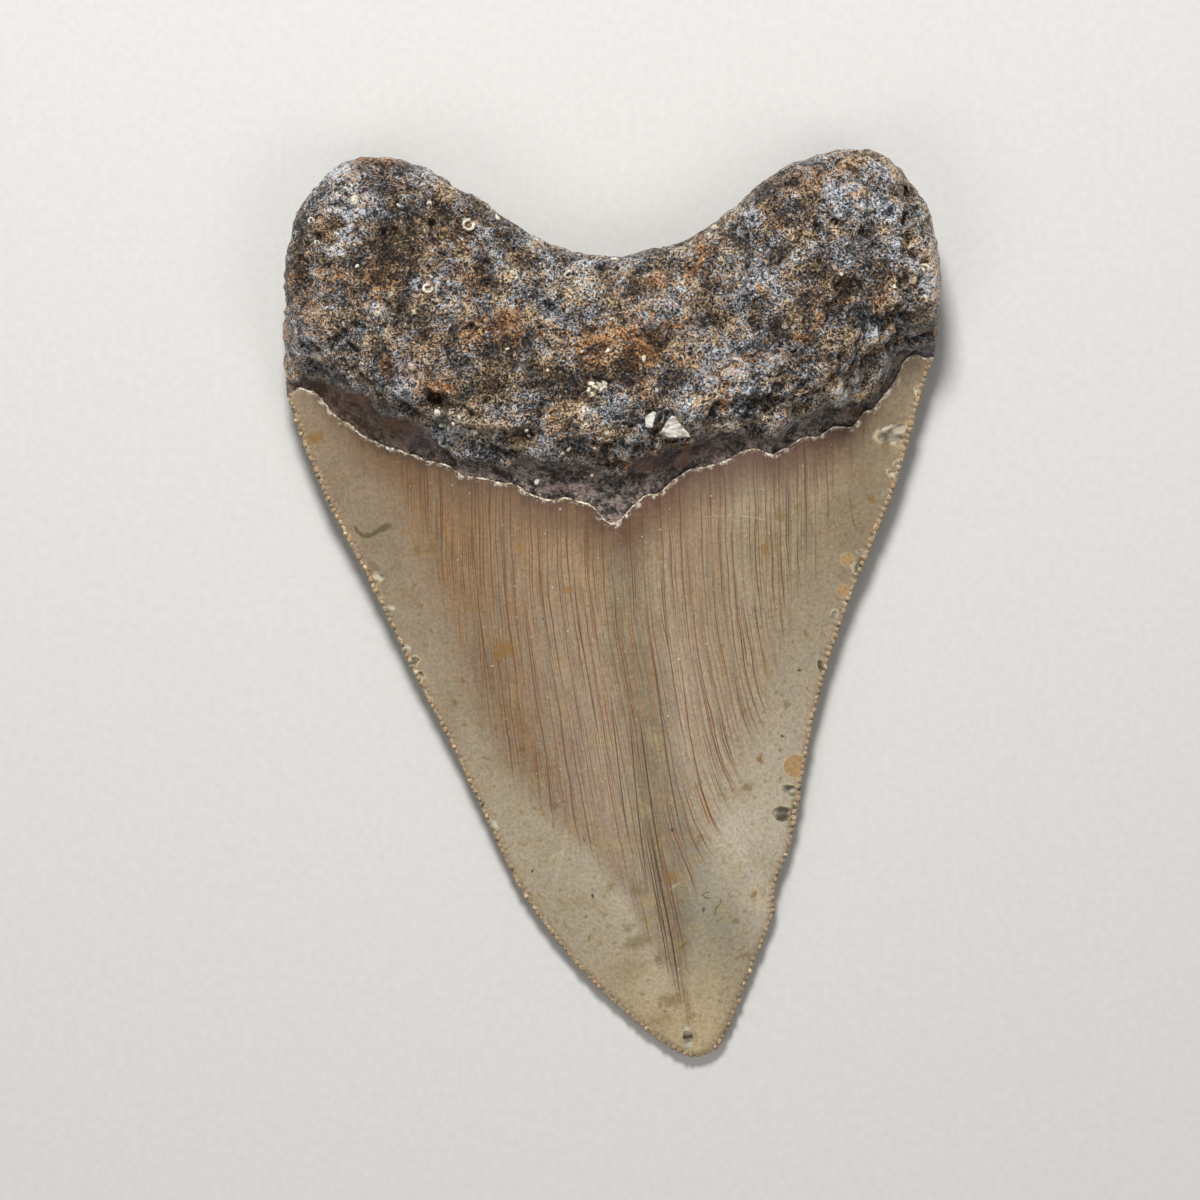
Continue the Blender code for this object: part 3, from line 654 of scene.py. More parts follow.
ROSY = [
    (-29.7, 34.8, 2.6, 2.8, 0.9), (25.3, 36.0, 3.2, 2.6, 0.8), (1.1, 20.6, 9.0, 1.3, 0.9),
    (-36.0, 63.0, 5.5, 2.6, 0.6), (27.0, 63.5, 3.5, 3.5, 0.8), (14.9, 22.3, 3.0, 1.5, 0.6),
    (-44.0, 43.0, 2.5, 6.0, 0.5), (42.0, 62.0, 3.5, 3.0, 0.5), (-27.0, 58.0, 6.0, 3.0, 0.4),
    (-24.0, 33.5, 3.0, 1.5, 0.5),
]
PALE = [
    (39.3, 33.8, 4.5, 2.6, 0.9), (33.0, 30.5, 4.0, 1.3, 0.9), (-26.0, 24.6, 6.0, 1.6, 0.7),
    (-40.7, 63.9, 2.8, 2.0, 0.8), (-12.0, 43.5, 6.0, 3.0, 0.5), (17.0, 47.0, 6.5, 4.0, 0.5),
    (44.5, 47.5, 2.5, 4.5, 0.7), (-34.0, 38.5, 4.0, 2.5, 0.5), (45.5, 36.5, 2.0, 2.0, 1.0),
    (-44.6, 33.6, 2.5, 1.5, 0.6), (24.0, 26.6, 6.0, 1.4, 0.5), (-5.0, 25.5, 8.0, 3.0, 0.3),
    (30.0, 51.0, 4.0, 3.0, 0.35), (38.0, 38.5, 4.0, 2.0, 0.4), (-37.0, 57.5, 6.0, 4.5, 0.7),
    (36.5, 59.0, 6.5, 5.0, 0.75), (20.0, 34.8, 7.0, 3.5, 0.9), (-2.0, 48.0, 9.0, 3.0, 0.4),
    (43.0, 50.0, 4.0, 5.0, 0.5), (-42.0, 41.0, 4.0, 5.0, 0.4), (14.0, 28.5, 8.0, 4.5, 0.4),
    (33.0, 53.0, 6.0, 5.0, 0.25),
]
# Painted shade: these patches darken the crust in its pits and hollows, and warm it a little.
HOLLOW_SHADE = [
    (-31.5, 50.4, 4.5, 4.5, 0.8), (34.1, 44.8, 5.5, 3.2, 0.30), (-1.0, 33.5, 6.5, 2.4, 0.7),
    (-16.5, 37.4, 4.0, 2.2, 0.5), (32.5, 35.8, 3.8, 2.6, 0.45), (20.9, 29.2, 2.0, 1.5, 0.9),
    (-45.3, 51.0, 0.9, 6.5, 0.8), (-24.6, 29.2, 3.2, 1.1, 1.0), (-12.6, 24.9, 1.3, 1.2, 0.9),
    (42.0, 60.4, 1.6, 1.1, 0.9), (-27.5, 38.5, 5.0, 1.6, 0.4),
    (-38.0, 41.0, 4.0, 1.4, 0.4), (23.0, 56.0, 2.5, 3.0, 0.4), (-10.0, 31.0, 5.0, 3.0, 0.4),
    (45.8, 40.8, 1.8, 2.2, 0.7), (-31.0, 56.0, 4.0, 3.0, 0.4), (20.0, 61.0, 3.0, 1.5, 0.5),
]
# Soft ochre and olive clouds in the enamel.
OCHRE = [
    (-43.8, 24.5, 1.6, 0.8, 1.0), (-40.5, 18.6, 1.4, 1.0, 0.5), (-30.0, 1.6, 1.3, 1.1, 0.6),
    (-15.9, -6.5, 1.6, 1.5, 0.6), (21.5, 9.0, 3.5, 4.0, 0.35), (-20.0, 12.5, 3.5, 3.0, 0.3),
    (-4.0, -43.5, 3.5, 1.2, 0.3), (7.5, -61.0, 2.4, 1.6, 0.5), (1.5, -54.0, 2.2, 1.8, 0.4),
    (3.5, -52.5, 2.6, 2.2, 0.35), (36.4, 19.5, 2.0, 1.4, 0.5), (-24.0, -15.0, 1.8, 2.4, 0.4),
    (-15.0, -23.5, 4.0, 1.6, 0.4), (-16.0, -16.0, 2.5, 2.5, 0.3), (19.5, -27.0, 1.6, 1.6, 0.4),
    (-8.5, -35.0, 3.5, 2.5, 0.25), (4.5, -34.0, 5.0, 2.0, 0.35), (34.0, 12.0, 3.0, 4.0, 0.2),
]

# The part of the crown that cracks have opened, from its left to its right side at each height.
CRACKED_HEIGHTS = (-60.0, -54.3, -50.7, -43.3, -36.0, -28.6, -22.8, -14.0, 0.7, 12.0, 22.0, 34.0)
CRACKED_FROM = (10.6, 8.6, 6.0, 2.2, -3.5, -11.5, -16.0, -20.5, -24.9, -29.5, -34.0, -42.0)
CRACKED_TO = (11.6, 11.0, 11.2, 11.6, 13.6, 17.4, 19.5, 22.4, 27.5, 31.0, 34.5, 41.0)
# How softly it ends at its sides, at two heights.
CRACKED_FADE = [(-58.0, -30.0), (0.8, 5.5)]


def cracked_share(x, y):
    """How far inside the cracked part of the crown each point is, from 0 to 1."""
    fade = np.interp(y, *CRACKED_FADE)
    from_left = (x - np.interp(y, CRACKED_HEIGHTS, CRACKED_FROM)) / fade
    from_right = (np.interp(y, CRACKED_HEIGHTS, CRACKED_TO) - x) / fade
    return smooth_step(-1.0, 1.0, from_left) * smooth_step(-1.0, 1.0, from_right)


def soaked(x, y, patches):
    """How much of a stain each point holds."""
    return np.clip(sum(strength * np.exp(-((x - at_x) / radius_x)**2 - ((y - at_y) / radius_y)**2)
                       for at_x, at_y, radius_x, radius_y, strength in patches), 0.0, 1.0)


# The enamel's cracks run down the crown in strands that lean to the right as they go, and flare
# where they meet the right margin. A strand is known by its x at the height where the lean starts.
STRANDS_START_Y = 0.7
STEADY_LEAN = 0.035
# How much more a strand leans, and between which distances below its start that sets in.
LEANS = [(0.13, -8.0, 8.0), (0.05, 25.0, 40.0), (-0.07, 47.0, 56.0)]
# Strands on the far left lean less, and those on the right flare, the sooner the further they are.
HELD_BACK, HELD_FROM, HELD_TO = 0.35, 8.0, 20.0
FLARE, FLARE_FADE, FLARE_POWER = 3.0, 7.0, 5
FLARE_REACHED, FLARE_SOONER, FLARE_SOONEST, FLARE_MOST = 44.0, 1.25, 8.0, 1.15
STRAND_PASSES = 40


def risen(low, high, value):
    """The area under smooth_step up to a value."""
    share = np.clip((value - low) / (high - low), 0.0, 1.0)
    return (high - low) * (share**3 - 0.5 * share**4) + np.maximum(value - high, 0.0)


def lean(below):
    """How far a strand in the middle has moved to the right at a distance below its start."""
    return STEADY_LEAN * below + sum(slope * (risen(low, high, below) - risen(low, high, 0.0))
                                     for slope, low, high in LEANS)


def strand_of(x, y):
    """The strand that passes each point."""
    below = STRANDS_START_Y - y
    strand = x - lean(below)
    for _ in range(STRAND_PASSES):
        hold_back = 1.0 - HELD_BACK * smooth_step(HELD_FROM, HELD_TO, -strand)
        reach = below / np.maximum(FLARE_REACHED - FLARE_SOONER * strand, FLARE_SOONEST)
        flare = FLARE * smooth_step(0.0, FLARE_FADE, strand) * (
            np.clip(reach, 0.0, FLARE_MOST)**FLARE_POWER)
        strand = 0.5 * strand + 0.5 * (x - hold_back * lean(below) - flare)
    return strand


# The serrations are counted along the cutting edge, which is marked on the enamel beside it.
SERRATION_PITCH = 0.95
SERRATED_MARGIN = 3.5
SERRATED_TO_Y = 37.0
# Painted light on the crust's raised parts and painted shade on its sunken parts are full at this
# height.
RAISED_FULLY = 1.3

plan_x, plan_y = points[:, 0], points[:, 1]
lingual = np.zeros(len(points))
lingual[:rows * columns] = 1.0
serration_count = round(edge_along[-1] / SERRATION_PITCH)
serration = np.zeros(len(points))
for number in np.flatnonzero(
        (per_vertex("margin") < SERRATED_MARGIN) & (plan_y < SERRATED_TO_Y)):
    gaps = (cutting_edge[:, 0] - plan_x[number])**2 + (cutting_edge[:, 1] - plan_y[number])**2
    nearest = int(gaps.argmin())
    near = cutting_edge[max(nearest - 1, 0):nearest + 2]
    heading = (near[-1] - near[0]) / np.linalg.norm(near[-1] - near[0])
    beyond = float(np.dot(points[number, :2] - cutting_edge[nearest], heading))
    serration[number] = (edge_along[nearest] + beyond) / edge_along[-1] * serration_count
amounts = {
    "relief_shade": np.clip(0.5 + 0.5 * lift / RAISED_FULLY, 0.0, 1.0),
    "past_foot": past_foot,
    "serration": serration,
    "cracked": cracked_share(plan_x, plan_y),
    "lingual": lingual,
    **{name: per_vertex(name) for name in ("across", "margin", "below_lip", "past_lip")},
    **{name: soaked(plan_x, plan_y, patches) for name, patches in (
        ("rust", RUST), ("rosy", ROSY), ("pale", PALE), ("hollow_shade", HOLLOW_SHADE), ("ochre", OCHRE))},
}
for name, values in amounts.items():
    tooth_mesh.attributes.new(name, "FLOAT", "POINT").data.foreach_set("value", values)
strands = np.stack([strand_of(plan_x, plan_y), plan_y, np.zeros(len(points))], axis=1)
tooth_mesh.attributes.new("strands", "FLOAT_VECTOR", "POINT").data.foreach_set(
    "vector", strands.ravel())

# --- The tooth: enamel ------------------------------------------------------------------------------
# Fossil enamel, polished by wear: grey-beige at the margins and tan in the middle, stained brown
# below the neck. Fine cracks run down it, filled with brown mineral, and it carries ochre spots,
# trails left by worms, scratches, and grey scars where flakes came off the edge.

# Rust spots with soft edges, olive spots, and dark dots: x, y, radius along, radius across, turn.
OCHRE_SPOTS = [
    (-43.9, 24.4, 1.3, 0.6, 10), (-31.9, 13.8, 0.25, 0.45, 0), (-30.5, 17.9, 0.3, 0.2, 30),
    (-28.0, -0.2, 0.5, 0.3, 0), (-21.1, -0.6, 0.5, 0.3, 0), (-6.6, 2.3, 0.85, 0.55, 5),
    (-15.6, -6.3, 1.1, 1.0, 0), (-16.8, -7.3, 0.7, 0.5, 20), (-21.9, -11.2, 0.3, 0.3, 0),
    (-21.8, -17.6, 0.4, 0.3, 0), (-17.0, -18.1, 0.4, 0.35, 0), (8.6, -39.8, 0.8, 0.9, 0),
    (20.7, -42.7, 0.45, 0.6, 0), (19.5, -51.5, 0.7, 0.4, 10), (21.6, -22.4, 0.55, 0.7, 0),
    (24.5, -21.4, 0.25, 0.25, 0), (28.2, -4.2, 0.35, 0.4, 0), (-3.4, -48.6, 0.16, 0.5, 0),
    (37.9, 15.7, 0.6, 0.45, 0), (-12.0, -42.7, 0.4, 0.3, 0), (23.5, -40.6, 0.5, 0.35, 30),
    (-13.3, 8.4, 0.6, 0.4, 0), (22.2, 8.2, 0.6, 1.1, 0), (12.2, -26.5, 0.3, 0.6, 0),
]
OLIVE_SPOTS = [
    (-26.4, 8.4, 0.7, 0.6, 0), (-28.6, 8.0, 0.5, 0.7, 0), (-19.1, -0.9, 0.5, 0.3, 0),
    (-23.2, -14.2, 0.45, 0.5, 0), (-13.4, -21.2, 0.7, 0.4, 20), (3.6, -41.7, 1.2, 0.8, -10),
    (-0.3, -41.3, 0.4, 0.7, -30), (2.2, -47.3, 0.5, 0.6, 0), (10.5, -49.8, 0.85, 0.3, 30),
    (6.8, -51.9, 0.6, 0.85, 0), (8.4, -58.1, 1.5, 1.0, 0), (19.7, -26.6, 0.8, 0.5, 20),
    (27.1, 14.2, 0.4, 0.8, 0), (24.4, 13.1, 0.8, 0.9, 0), (25.5, -14.6, 0.5, 0.6, 0),
    (12.9, -33.9, 0.4, 0.35, 0), (12.4, -34.8, 0.5, 0.35, 40), (18.0, -46.5, 0.6, 0.4, 0),
    (-8.5, -29.4, 0.6, 0.5, 0), (3.6, -49.4, 1.9, 0.9, 20),
]
DARK_DOTS = [
    (13.3, -44.6, 0.22, 0.34, 0), (8.7, -32.8, 0.2, 0.28, 0), (27.4, -9.6, 0.28, 0.18, 0),
    (-11.8, -39.1, 0.3, 0.15, 40), (-2.9, -42.6, 0.2, 0.35, 0), (-10.2, -2.0, 0.15, 0.15, 0),
    (24.9, -19.2, 0.18, 0.18, 0), (-3.9, -45.8, 0.15, 0.15, 0),
]
# Trails and scratches, as points along them with the half width at each stretch's start.
WORM_TRAILS = [
    [(-37.8, 11.5, 0.22), (-37.3, 10.6, 0.3), (-36.4, 10.05, 0.36), (-35.3, 10.3, 0.36),
     (-34.3, 10.9, 0.48), (-32.8, 11.6, 0.5)],
    [(14.5, -42.9, 0.09), (13.5, -42.8, 0.1), (13.15, -42.4, 0.1), (13.6, -42.05, 0.1),
     (14.1, -42.0, 0.08)],
    [(15.85, -43.0, 0.08), (15.85, -43.75, 0.1), (15.3, -44.1, 0.1), (15.0, -44.8, 0.1),
     (15.05, -45.3, 0.08)],
    [(34.7, 15.9, 0.07), (35.0, 13.5, 0.08), (35.6, 11.2, 0.06)],
    [(-4.4, -34.0, 0.08), (-3.9, -34.6, 0.08)],
]
SCRATCHES = [
    [(12.9, 12.75, 0.05), (15.8, 13.0, 0.07), (17.5, 13.1, 0.07), (20.9, 12.7, 0.08),
     (23.9, 12.1, 0.06)],
    [(20.4, 16.9, 0.04), (22.4, 16.8, 0.04)],
    [(3.7, 6.0, 0.04), (7.0, 6.2, 0.05)],
    [(-6.7, -32.7, 0.28), (-7.0, -34.8, 0.3), (-7.8, -37.4, 0.32), (-8.3, -40.4, 0.12)],
    [(-9.5, -37.7, 0.2), (-8.9, -37.0, 0.3), (-7.6, -36.4, 0.25)],
    [(8.5, -41.4, 0.08), (9.8, -40.6, 0.08)],
]
# The cracks that stand out: strand at the top, strand at the bottom, top and bottom y, half width.
CRACKS = [
    (-2.4, -3.4, -12.0, -34.0, 0.085), (0.0, -2.2, -14.0, -43.0, 0.085),
    (1.35, 0.5, -14.0, -41.0, 0.10), (0.1, -0.35, -30.0, -59.0, 0.12),
    (5.0, 3.6, -2.0, -37.0, 0.085), (8.7, 7.3, -6.0, -34.0, 0.085),
    (10.9, 11.2, -6.0, -28.0, 0.06), (-10.5, -9.9, 16.0, -10.0, 0.08),
    (-5.4, -5.1, 9.0, -22.0, 0.07), (-20.3, -19.0, 17.0, -14.0, 0.06),
    (-1.0, -1.6, -36.0, -56.0, 0.07), (7.3, 7.1, 9.0, -20.0, 0.07),
    (-0.5, -1.0, -30.0, -52.0, 0.07), (-16.0, -15.2, 16.0, -12.0, 0.06),
]
# The cracks between them: spacing, half width, strength, length of a stretch, seed.
CRACK_LAYERS = [(1.45, 0.075, 0.95, 26.0, 3.0), (1.15, 0.060, 0.90, 14.0, 11.0),
                (0.50, 0.050, 0.55, 8.0, 29.0)]
# Flake scars that only show as a change of colour: x, y, radius along, radius across, turn.
SCARS = [
    (41.3, 25.2, 2.5, 1.35, 14), (25.2, -30.7, 1.9, 1.15, -8), (11.1, -63.8, 0.75, 1.8, 0),
    (-34.5, 4.1, 1.3, 0.7, 10), (36.3, 5.2, 1.3, 0.75, -25), (26.3, -27.3, 1.7, 0.75, -18),
    (-32.9, -0.6, 0.8, 0.5, 15), (-30.5, -6.4, 0.7, 0.6, 0), (-29.2, -8.2, 0.9, 0.55, 20),
    (-28.2, -10.4, 0.6, 0.6, 0), (-17.6, -32.4, 0.9, 0.6, -50), (42.4, 20.8, 1.0, 0.55, 10),
    (41.3, 19.2, 1.1, 0.5, -25), (45.3, 31.4, 0.9, 0.7, 0), (36.9, 7.6, 0.9, 0.5, -20),
    (40.1, 16.4, 0.7, 0.6, 0), (32.6, -1.4, 0.6, 0.7, 0), (30.6, -9.0, 0.5, 1.1, 15),
]
ORANGE_DISCS = [
    (26.85, -23.7, 1.75, 1.75, 0), (33.85, 2.1, 0.95, 0.95, 0), (34.5, 6.7, 1.05, 1.0, 20),
]



def stretches(trails):
    """Each stretch of each trail as a long thin spot."""
    return [((a[0] + b[0]) / 2, (a[1] + b[1]) / 2,
             math.dist(a[:2], b[:2]) / 2 + a[2], a[2],
             math.degrees(math.atan2(b[1] - a[1], b[0] - a[0])))
            for trail in trails for a, b in zip(trail, trail[1:])]


def off(value, middle):
    """How far a value is from a middle one."""
    return add("Math ABSOLUTE", add("Math SUBTRACT", value, middle))


def nearness(place, spots):
    """How many radii away the nearest of the spots is."""
    nearest = None
    for x, y, along, across, turn in spots:
        local = place if not turn else add(
            "VectorRotate", place, (x, y, 0.0), Angle=-math.radians(turn), rotation_type="Z_AXIS")
        local = add("VectorMath MULTIPLY_ADD", local, (1.0 / along, 1.0 / across, 0.0),
                    (-x / along, -y / across, 0.0))
        reach = add("VectorMath LENGTH", local, output=1)
        nearest = add("Math MINIMUM", reach, nearest) if nearest else reach
    return nearest


def layered(colour, *layers):
    """Lays tints over a colour, each by the product of its amounts."""
    for amount, *shares, tint in layers:
        for share in shares:
            amount = add("Math MULTIPLY", amount, share)
        colour, tint = [linear(part) if isinstance(part, str) else part for part in (colour, tint)]
        colour = add("Mix", amount, A=colour, B=tint, output=2, data_type="RGBA")
    return colour


# Fossil enamel is glassy but worn: it shines softly, and its colours are broad, with fine grain.
enamel, in_mm = new_finish("fossil_enamel")
flat = add("VectorMath MULTIPLY", in_mm, (1.0, 1.0, 0.0))
strand_place = add("Attribute", output=1, attribute_name="strands")
strand, height = [add("SeparateXYZ", strand_place, output=axis) for axis in (0, 1)]
side, margin, below_lip, lingual_face, ochre, serration_place, cracked = [
    add("Attribute", output=2, attribute_name=name)
    for name in ("across", "margin", "below_lip", "lingual", "ochre", "serration", "cracked")]

# Broad colour, with clouds 3 mm wide, a greenish band and a warmer one, and a pale tip. Towards the
# tip the margin and middle colours grow lighter: partly its own colour, partly painted light.
mottle = add("TexNoise", Vector=in_mm, Scale=0.33, Detail=4.0, Roughness=0.65)
fine_mottle = add("TexNoise", Vector=in_mm, Scale=2.0, Detail=3.0)
fleck = add("TexNoise", Vector=in_mm, Scale=0.95, Detail=3.0, Roughness=0.7)
inward = add("Math MULTIPLY_ADD", mottle, 0.9, cracked)
to_margin = add("MapRange SMOOTHSTEP", inward, 1.45, 0.45)
in_middle = add("MapRange SMOOTHSTEP", inward, 0.50, 1.40)
to_right = add("MapRange", side, -0.5, 0.5)
to_low = add("MapRange", height, 12.0, -36.0)
margin_colour = layered("#8f7d66", (to_right, "#948369"),
                        (to_low, layered("#b2a48c", (to_right, "#c6b9a3"))))
middle_colour = layered("#8c6c48", (to_right, "#a18f71"),
                        (to_low, layered("#92806a", (to_right, "#b2a38c"))))
base = layered(
    middle_colour, (to_margin, margin_colour),
    (add("MapRange SMOOTHSTEP", off(strand, 2.2), 5.6, 1.2, 0.0, 0.64), "#706953"),
    (add("MapRange SMOOTHSTEP", off(strand, 13.2), 6.5, 1.5),
     add("MapRange SMOOTHSTEP", height, -22.0, 2.0, 0.0, 0.5), "#866849"),
    (add("MapRange SMOOTHSTEP", height, -46.0, -64.0), 0.8, "#cdb68f"))

# Streaks along the strands: tan and grey, 1 to 3 mm wide and long drawn out, and thin ones between
# the cracks. Brown mineral has soaked in below the neck, and ochre in spots.
drawn_out = add("VectorMath MULTIPLY", strand_place, (1.0, 0.05, 1.0))
streaks = add("TexNoise", Vector=drawn_out, Scale=0.75, Detail=4.0, Roughness=0.7)
thin_streaks = add("TexNoise", Vector=drawn_out, Scale=3.4, Detail=2.0)
below = add("Math MULTIPLY_ADD", add("Math SUBTRACT", streaks, 0.5), -6.0, below_lip)
away_from_sides = add("MapRange", add("Math ABSOLUTE", side), 0.97, 0.75)
base = layered(
    base,
    *[(add("MapRange", source, start, full, 0.0, most), in_middle, tint)
      for source, start, full, most, tint in (
          (streaks, 0.52, 0.72, 0.8, "#8b6641"), (streaks, 0.50, 0.32, 0.65, "#756c5c"),
          (thin_streaks, 0.52, 0.66, 0.35, "#775333"), (thin_streaks, 0.47, 0.34, 0.35, "#9c8b70"))],
    *[(add("MapRange SMOOTHSTEP", below, start, full, 0.0, most), away_from_sides,
       layered(left, (to_right, right)))
      for start, full, most, left, right in (
          (8.0, 0.5, 0.92, "#6b5036", "#5c4031"), (1.8, 0.2, 0.7, "#48372a", "#553c30"))],
    (ochre, 0.7, "#846c3a"),
    (add("MapRange", mottle, 0.50, 0.64, 0.0, 0.45), to_low, "#988657"),
    (add("MapRange", fleck, 0.585, 0.66, 0.0, 0.5), "#80632f"))
speckle = add("MapRange", fine_mottle, 0.35, 0.65, 0.86, 1.14)
cloudy = add("MapRange", mottle, 0.3, 0.7, 0.91, 1.10)
base = add("VectorMath SCALE", base, Scale=add("Math MULTIPLY", speckle, cloudy))

# Cracks: lines at chosen strands, and between them lines whose strand, start and end are random.
# Flakes of cream are left on the enamel just below its lip.
cracks = None
for top_strand, bottom_strand, top_y, bottom_y, half_width in CRACKS:
    slope = (bottom_strand - top_strand) / (bottom_y - top_y)
    at = add("Math MULTIPLY_ADD", height, slope, top_strand - slope * top_y)
    gap = off(strand, at)
    half_run = (top_y - bottom_y) / 2
    width = add("MapRange", off(height, (top_y + bottom_y) / 2), half_run, half_run * 0.5, 0.0001,
                half_width)
    line = add("MapRange", add("Math DIVIDE", gap, width), 1.5, 0.5)
    cracks = add("Math MAXIMUM", cracks, line) if cracks else line
wander = add("TexNoise", Vector=add("VectorMath MULTIPLY", strand_place, (0.25, 0.08, 1.0)),
             Scale=1.0, Detail=3.0)
wandering = add("Math MULTIPLY_ADD", wander, 1.3, strand)
fine_cracks = None
for spacing, half_width, strength, run, seed in CRACK_LAYERS:
    counted = add("Math MULTIPLY_ADD", wandering, 1.0 / spacing, seed)
    number = add("Math FLOOR", counted)
    chance = add("TexWhiteNoise", W=number, noise_dimensions="1D")
    aside = add("Math MULTIPLY_ADD", chance, 0.6, 0.2)
    line = add("MapRange", off(add("Math FRACT", counted), aside), 1.6 * half_width / spacing,
               0.4 * half_width / spacing)
    stretch = add("TexNoise", Vector=add("CombineXYZ", add("Math MULTIPLY", number, 7.37), add(
        "Math MULTIPLY", height, 1.0 / run)), Scale=1.0, Detail=1.0)
    shows = add("MapRange", add("Math MULTIPLY_ADD", cracked, 0.30, stretch), 0.69, 0.86, 0.0,
                strength)
    line = add("Math MULTIPLY", line, shows)
    fine_cracks = add("Math MAXIMUM", fine_cracks, line) if fine_cracks else line
fine_crack_tint = layered("#5c361d", (to_low, "#7d4a26"),
                          (add("MapRange", thin_streaks, 0.50, 0.38, 0.0, 0.7), "#4a382e"))
crack_tint = layered("#3f281a", (add("MapRange", strand, 4.0, 13.0), "#6a3c1f"),
                     (add("MapRange", strand, -6.0, -14.0), "#613617"),
                     (add("MapRange", streaks, 0.48, 0.38, 0.0, 0.6), "#332d2a"))
colour = layered(
    base,
    (add("MapRange", below_lip, 0.65, 0.15), add("MapRange", fleck, 0.49, 0.57, 0.0, 0.85),
     "#ddd2bd"),
    (fine_cracks, add("MapRange", cracked, 0.04, 0.70), fine_crack_tint),
    (cracks, add("MapRange", cracked, 0.1, 0.4, 0.0, 0.85), crack_tint))

# Marks, whose outlines noise makes uneven, and fine white specks.
unrest = add("VectorMath SUBTRACT", add("TexNoise", Vector=in_mm, Scale=1.4, Detail=3.0, output=1),
             (0.5,) * 3)
slightly_uneven, uneven, very_uneven = [
    add("VectorMath MULTIPLY_ADD", unrest, (reach, reach, 0.0), flat) for reach in (0.35, 0.8, 1.7)]
broken = add("MapRange", fleck, 0.42, 0.60)
marks = [
    (add("MapRange SMOOTHSTEP", nearness(spread, spots), 1.0 + soft, 1.0 - soft, 0.0, most),
     *share, lingual_face, tint)
    for spots, spread, soft, most, share, tint in (
        (OCHRE_SPOTS, very_uneven, 0.6, 0.75, [], "#8a6329"),
        (OLIVE_SPOTS, very_uneven, 0.7, 0.6, [], "#71602f"),
        (DARK_DOTS, slightly_uneven, 0.5, 0.9, [], "#38332c"),
        (stretches(WORM_TRAILS), slightly_uneven, 0.45, 0.85, [], "#5c5128"),
        (stretches(SCRATCHES), slightly_uneven, 0.8, 0.55, [broken], "#cdc6b8"))]
specks = add("TexVoronoi", Vector=add("VectorMath MULTIPLY_ADD", unrest, (0.9,) * 3, in_mm),
             Scale=0.62)
colour = layered(colour, *marks,
                 (add("MapRange", specks, 0.085, 0.03, 0.0, 0.8), in_middle, "#cfccc2"))

# The worn margin: each serration runs inwards as a pleat, painted as a stripe of shade beside a
# stripe of light, and cream, orange and dark flecks sit among them, fewer inwards.
pleat_place = add("Math MULTIPLY_ADD", fine_mottle, 0.35, serration_place)
pleat_chance = add("TexWhiteNoise", W=add("Math FLOOR", pleat_place), noise_dimensions="1D")
up_pleat = add("Math DIVIDE", margin, add("Math MULTIPLY_ADD", pleat_chance, 1.7, 0.05))
pleat_shading = add("Math PINGPONG", pleat_place, 0.5)
edge_tint = add("ValToRGB", fleck, ramp=[
    (0.33, "#40382e"), (0.42, "#85755b"), (0.50, "#a58f6c"), (0.56, "#a06a38"), (0.64, "#dccfb0")])
colour = layered(
    colour,
    (add("MapRange SMOOTHSTEP", margin, 1.3, 0.10, 0.0, 0.8), edge_tint),
    (add("MapRange", pleat_shading, 0.20, 0.04, 0.0, 0.45), add("MapRange", up_pleat, 1.0, 0.5),
     "#4c4236"),
    (add("MapRange", pleat_shading, 0.30, 0.45, 0.0, 0.4), add("MapRange", up_pleat, 0.8, 0.3),
     "#cdbf9f"))

# The scars: bare grey enamel in steps, with a cream rim in places. Barnacles left the discs.
scar_reach = nearness(uneven, SCARS)
scar_grain = add("TexNoise", Vector=add("VectorMath MULTIPLY", in_mm, (0.5, 1.5, 1.0)), Scale=0.55,
                 Detail=2.5)
scar_colour = add("ValToRGB", scar_grain, ramp=[
    (0.36, "#57503f"), (0.44, "#857c67"), (0.53, "#a59c85"), (0.60, "#d2c8b0")])
disc_reach = nearness(slightly_uneven, ORANGE_DISCS)
disc_colour = layered("#a9814f", (add("MapRange", fine_mottle, 0.4, 0.6), "#bd9a6c"))
colour = layered(
    colour,
    (add("MapRange", scar_reach, 1.38, 1.12, 0.0, 0.85), add("MapRange", mottle, 0.44, 0.54),
     lingual_face, "#cbbd98"),
    (add("MapRange", scar_reach, 1.05, 0.90), lingual_face, scar_colour),
    (add("MapRange", disc_reach, 1.16, 1.06, 0.0, 0.4), lingual_face, "#c9bc9c"),
    (add("MapRange", disc_reach, 1.0, 0.93, 0.0, 0.9), lingual_face, disc_colour))
coat(colour, add("MapRange", mottle, 0.3, 0.7, 0.34, 0.48), add("Math MULTIPLY", fine_mottle, 0.02),
     1.0, 0.8)
tooth_mesh.materials.append(enamel)

# --- The tooth: the broken lip of the enamel --------------------------------------------------------
# The enamel ends at the neck in a thin broken lip, which shows its cream section.


def grained_finish(name, ramp, roughness, depth, strength, stretch=(1.0, 1.0, 1.0), **grain):
    """A material whose colour and relief both follow one grain."""
    finish, place = new_finish(name, stretch)
    grain = add("TexNoise", Vector=place, **grain)
    coat(add("ValToRGB", grain, ramp=ramp), roughness, grain, depth, strength)
    return finish


lip = grained_finish("broken_enamel_lip", [
    (0.40, "#4c3b2e"), (0.47, "#8d7459"), (0.54, "#d8ccb5"), (0.62, "#f4eee2")],
    0.45, 0.12, 0.6, Scale=0.8, Detail=5.0, Roughness=0.75)
tooth_mesh.materials.append(lip)

# --- The tooth: the neck ----------------------------------------------------------------------------
# Bare dentine where the gum was: a dark, dense, faintly glossy band with rusty patches and the
# ragged edges of thin layers.

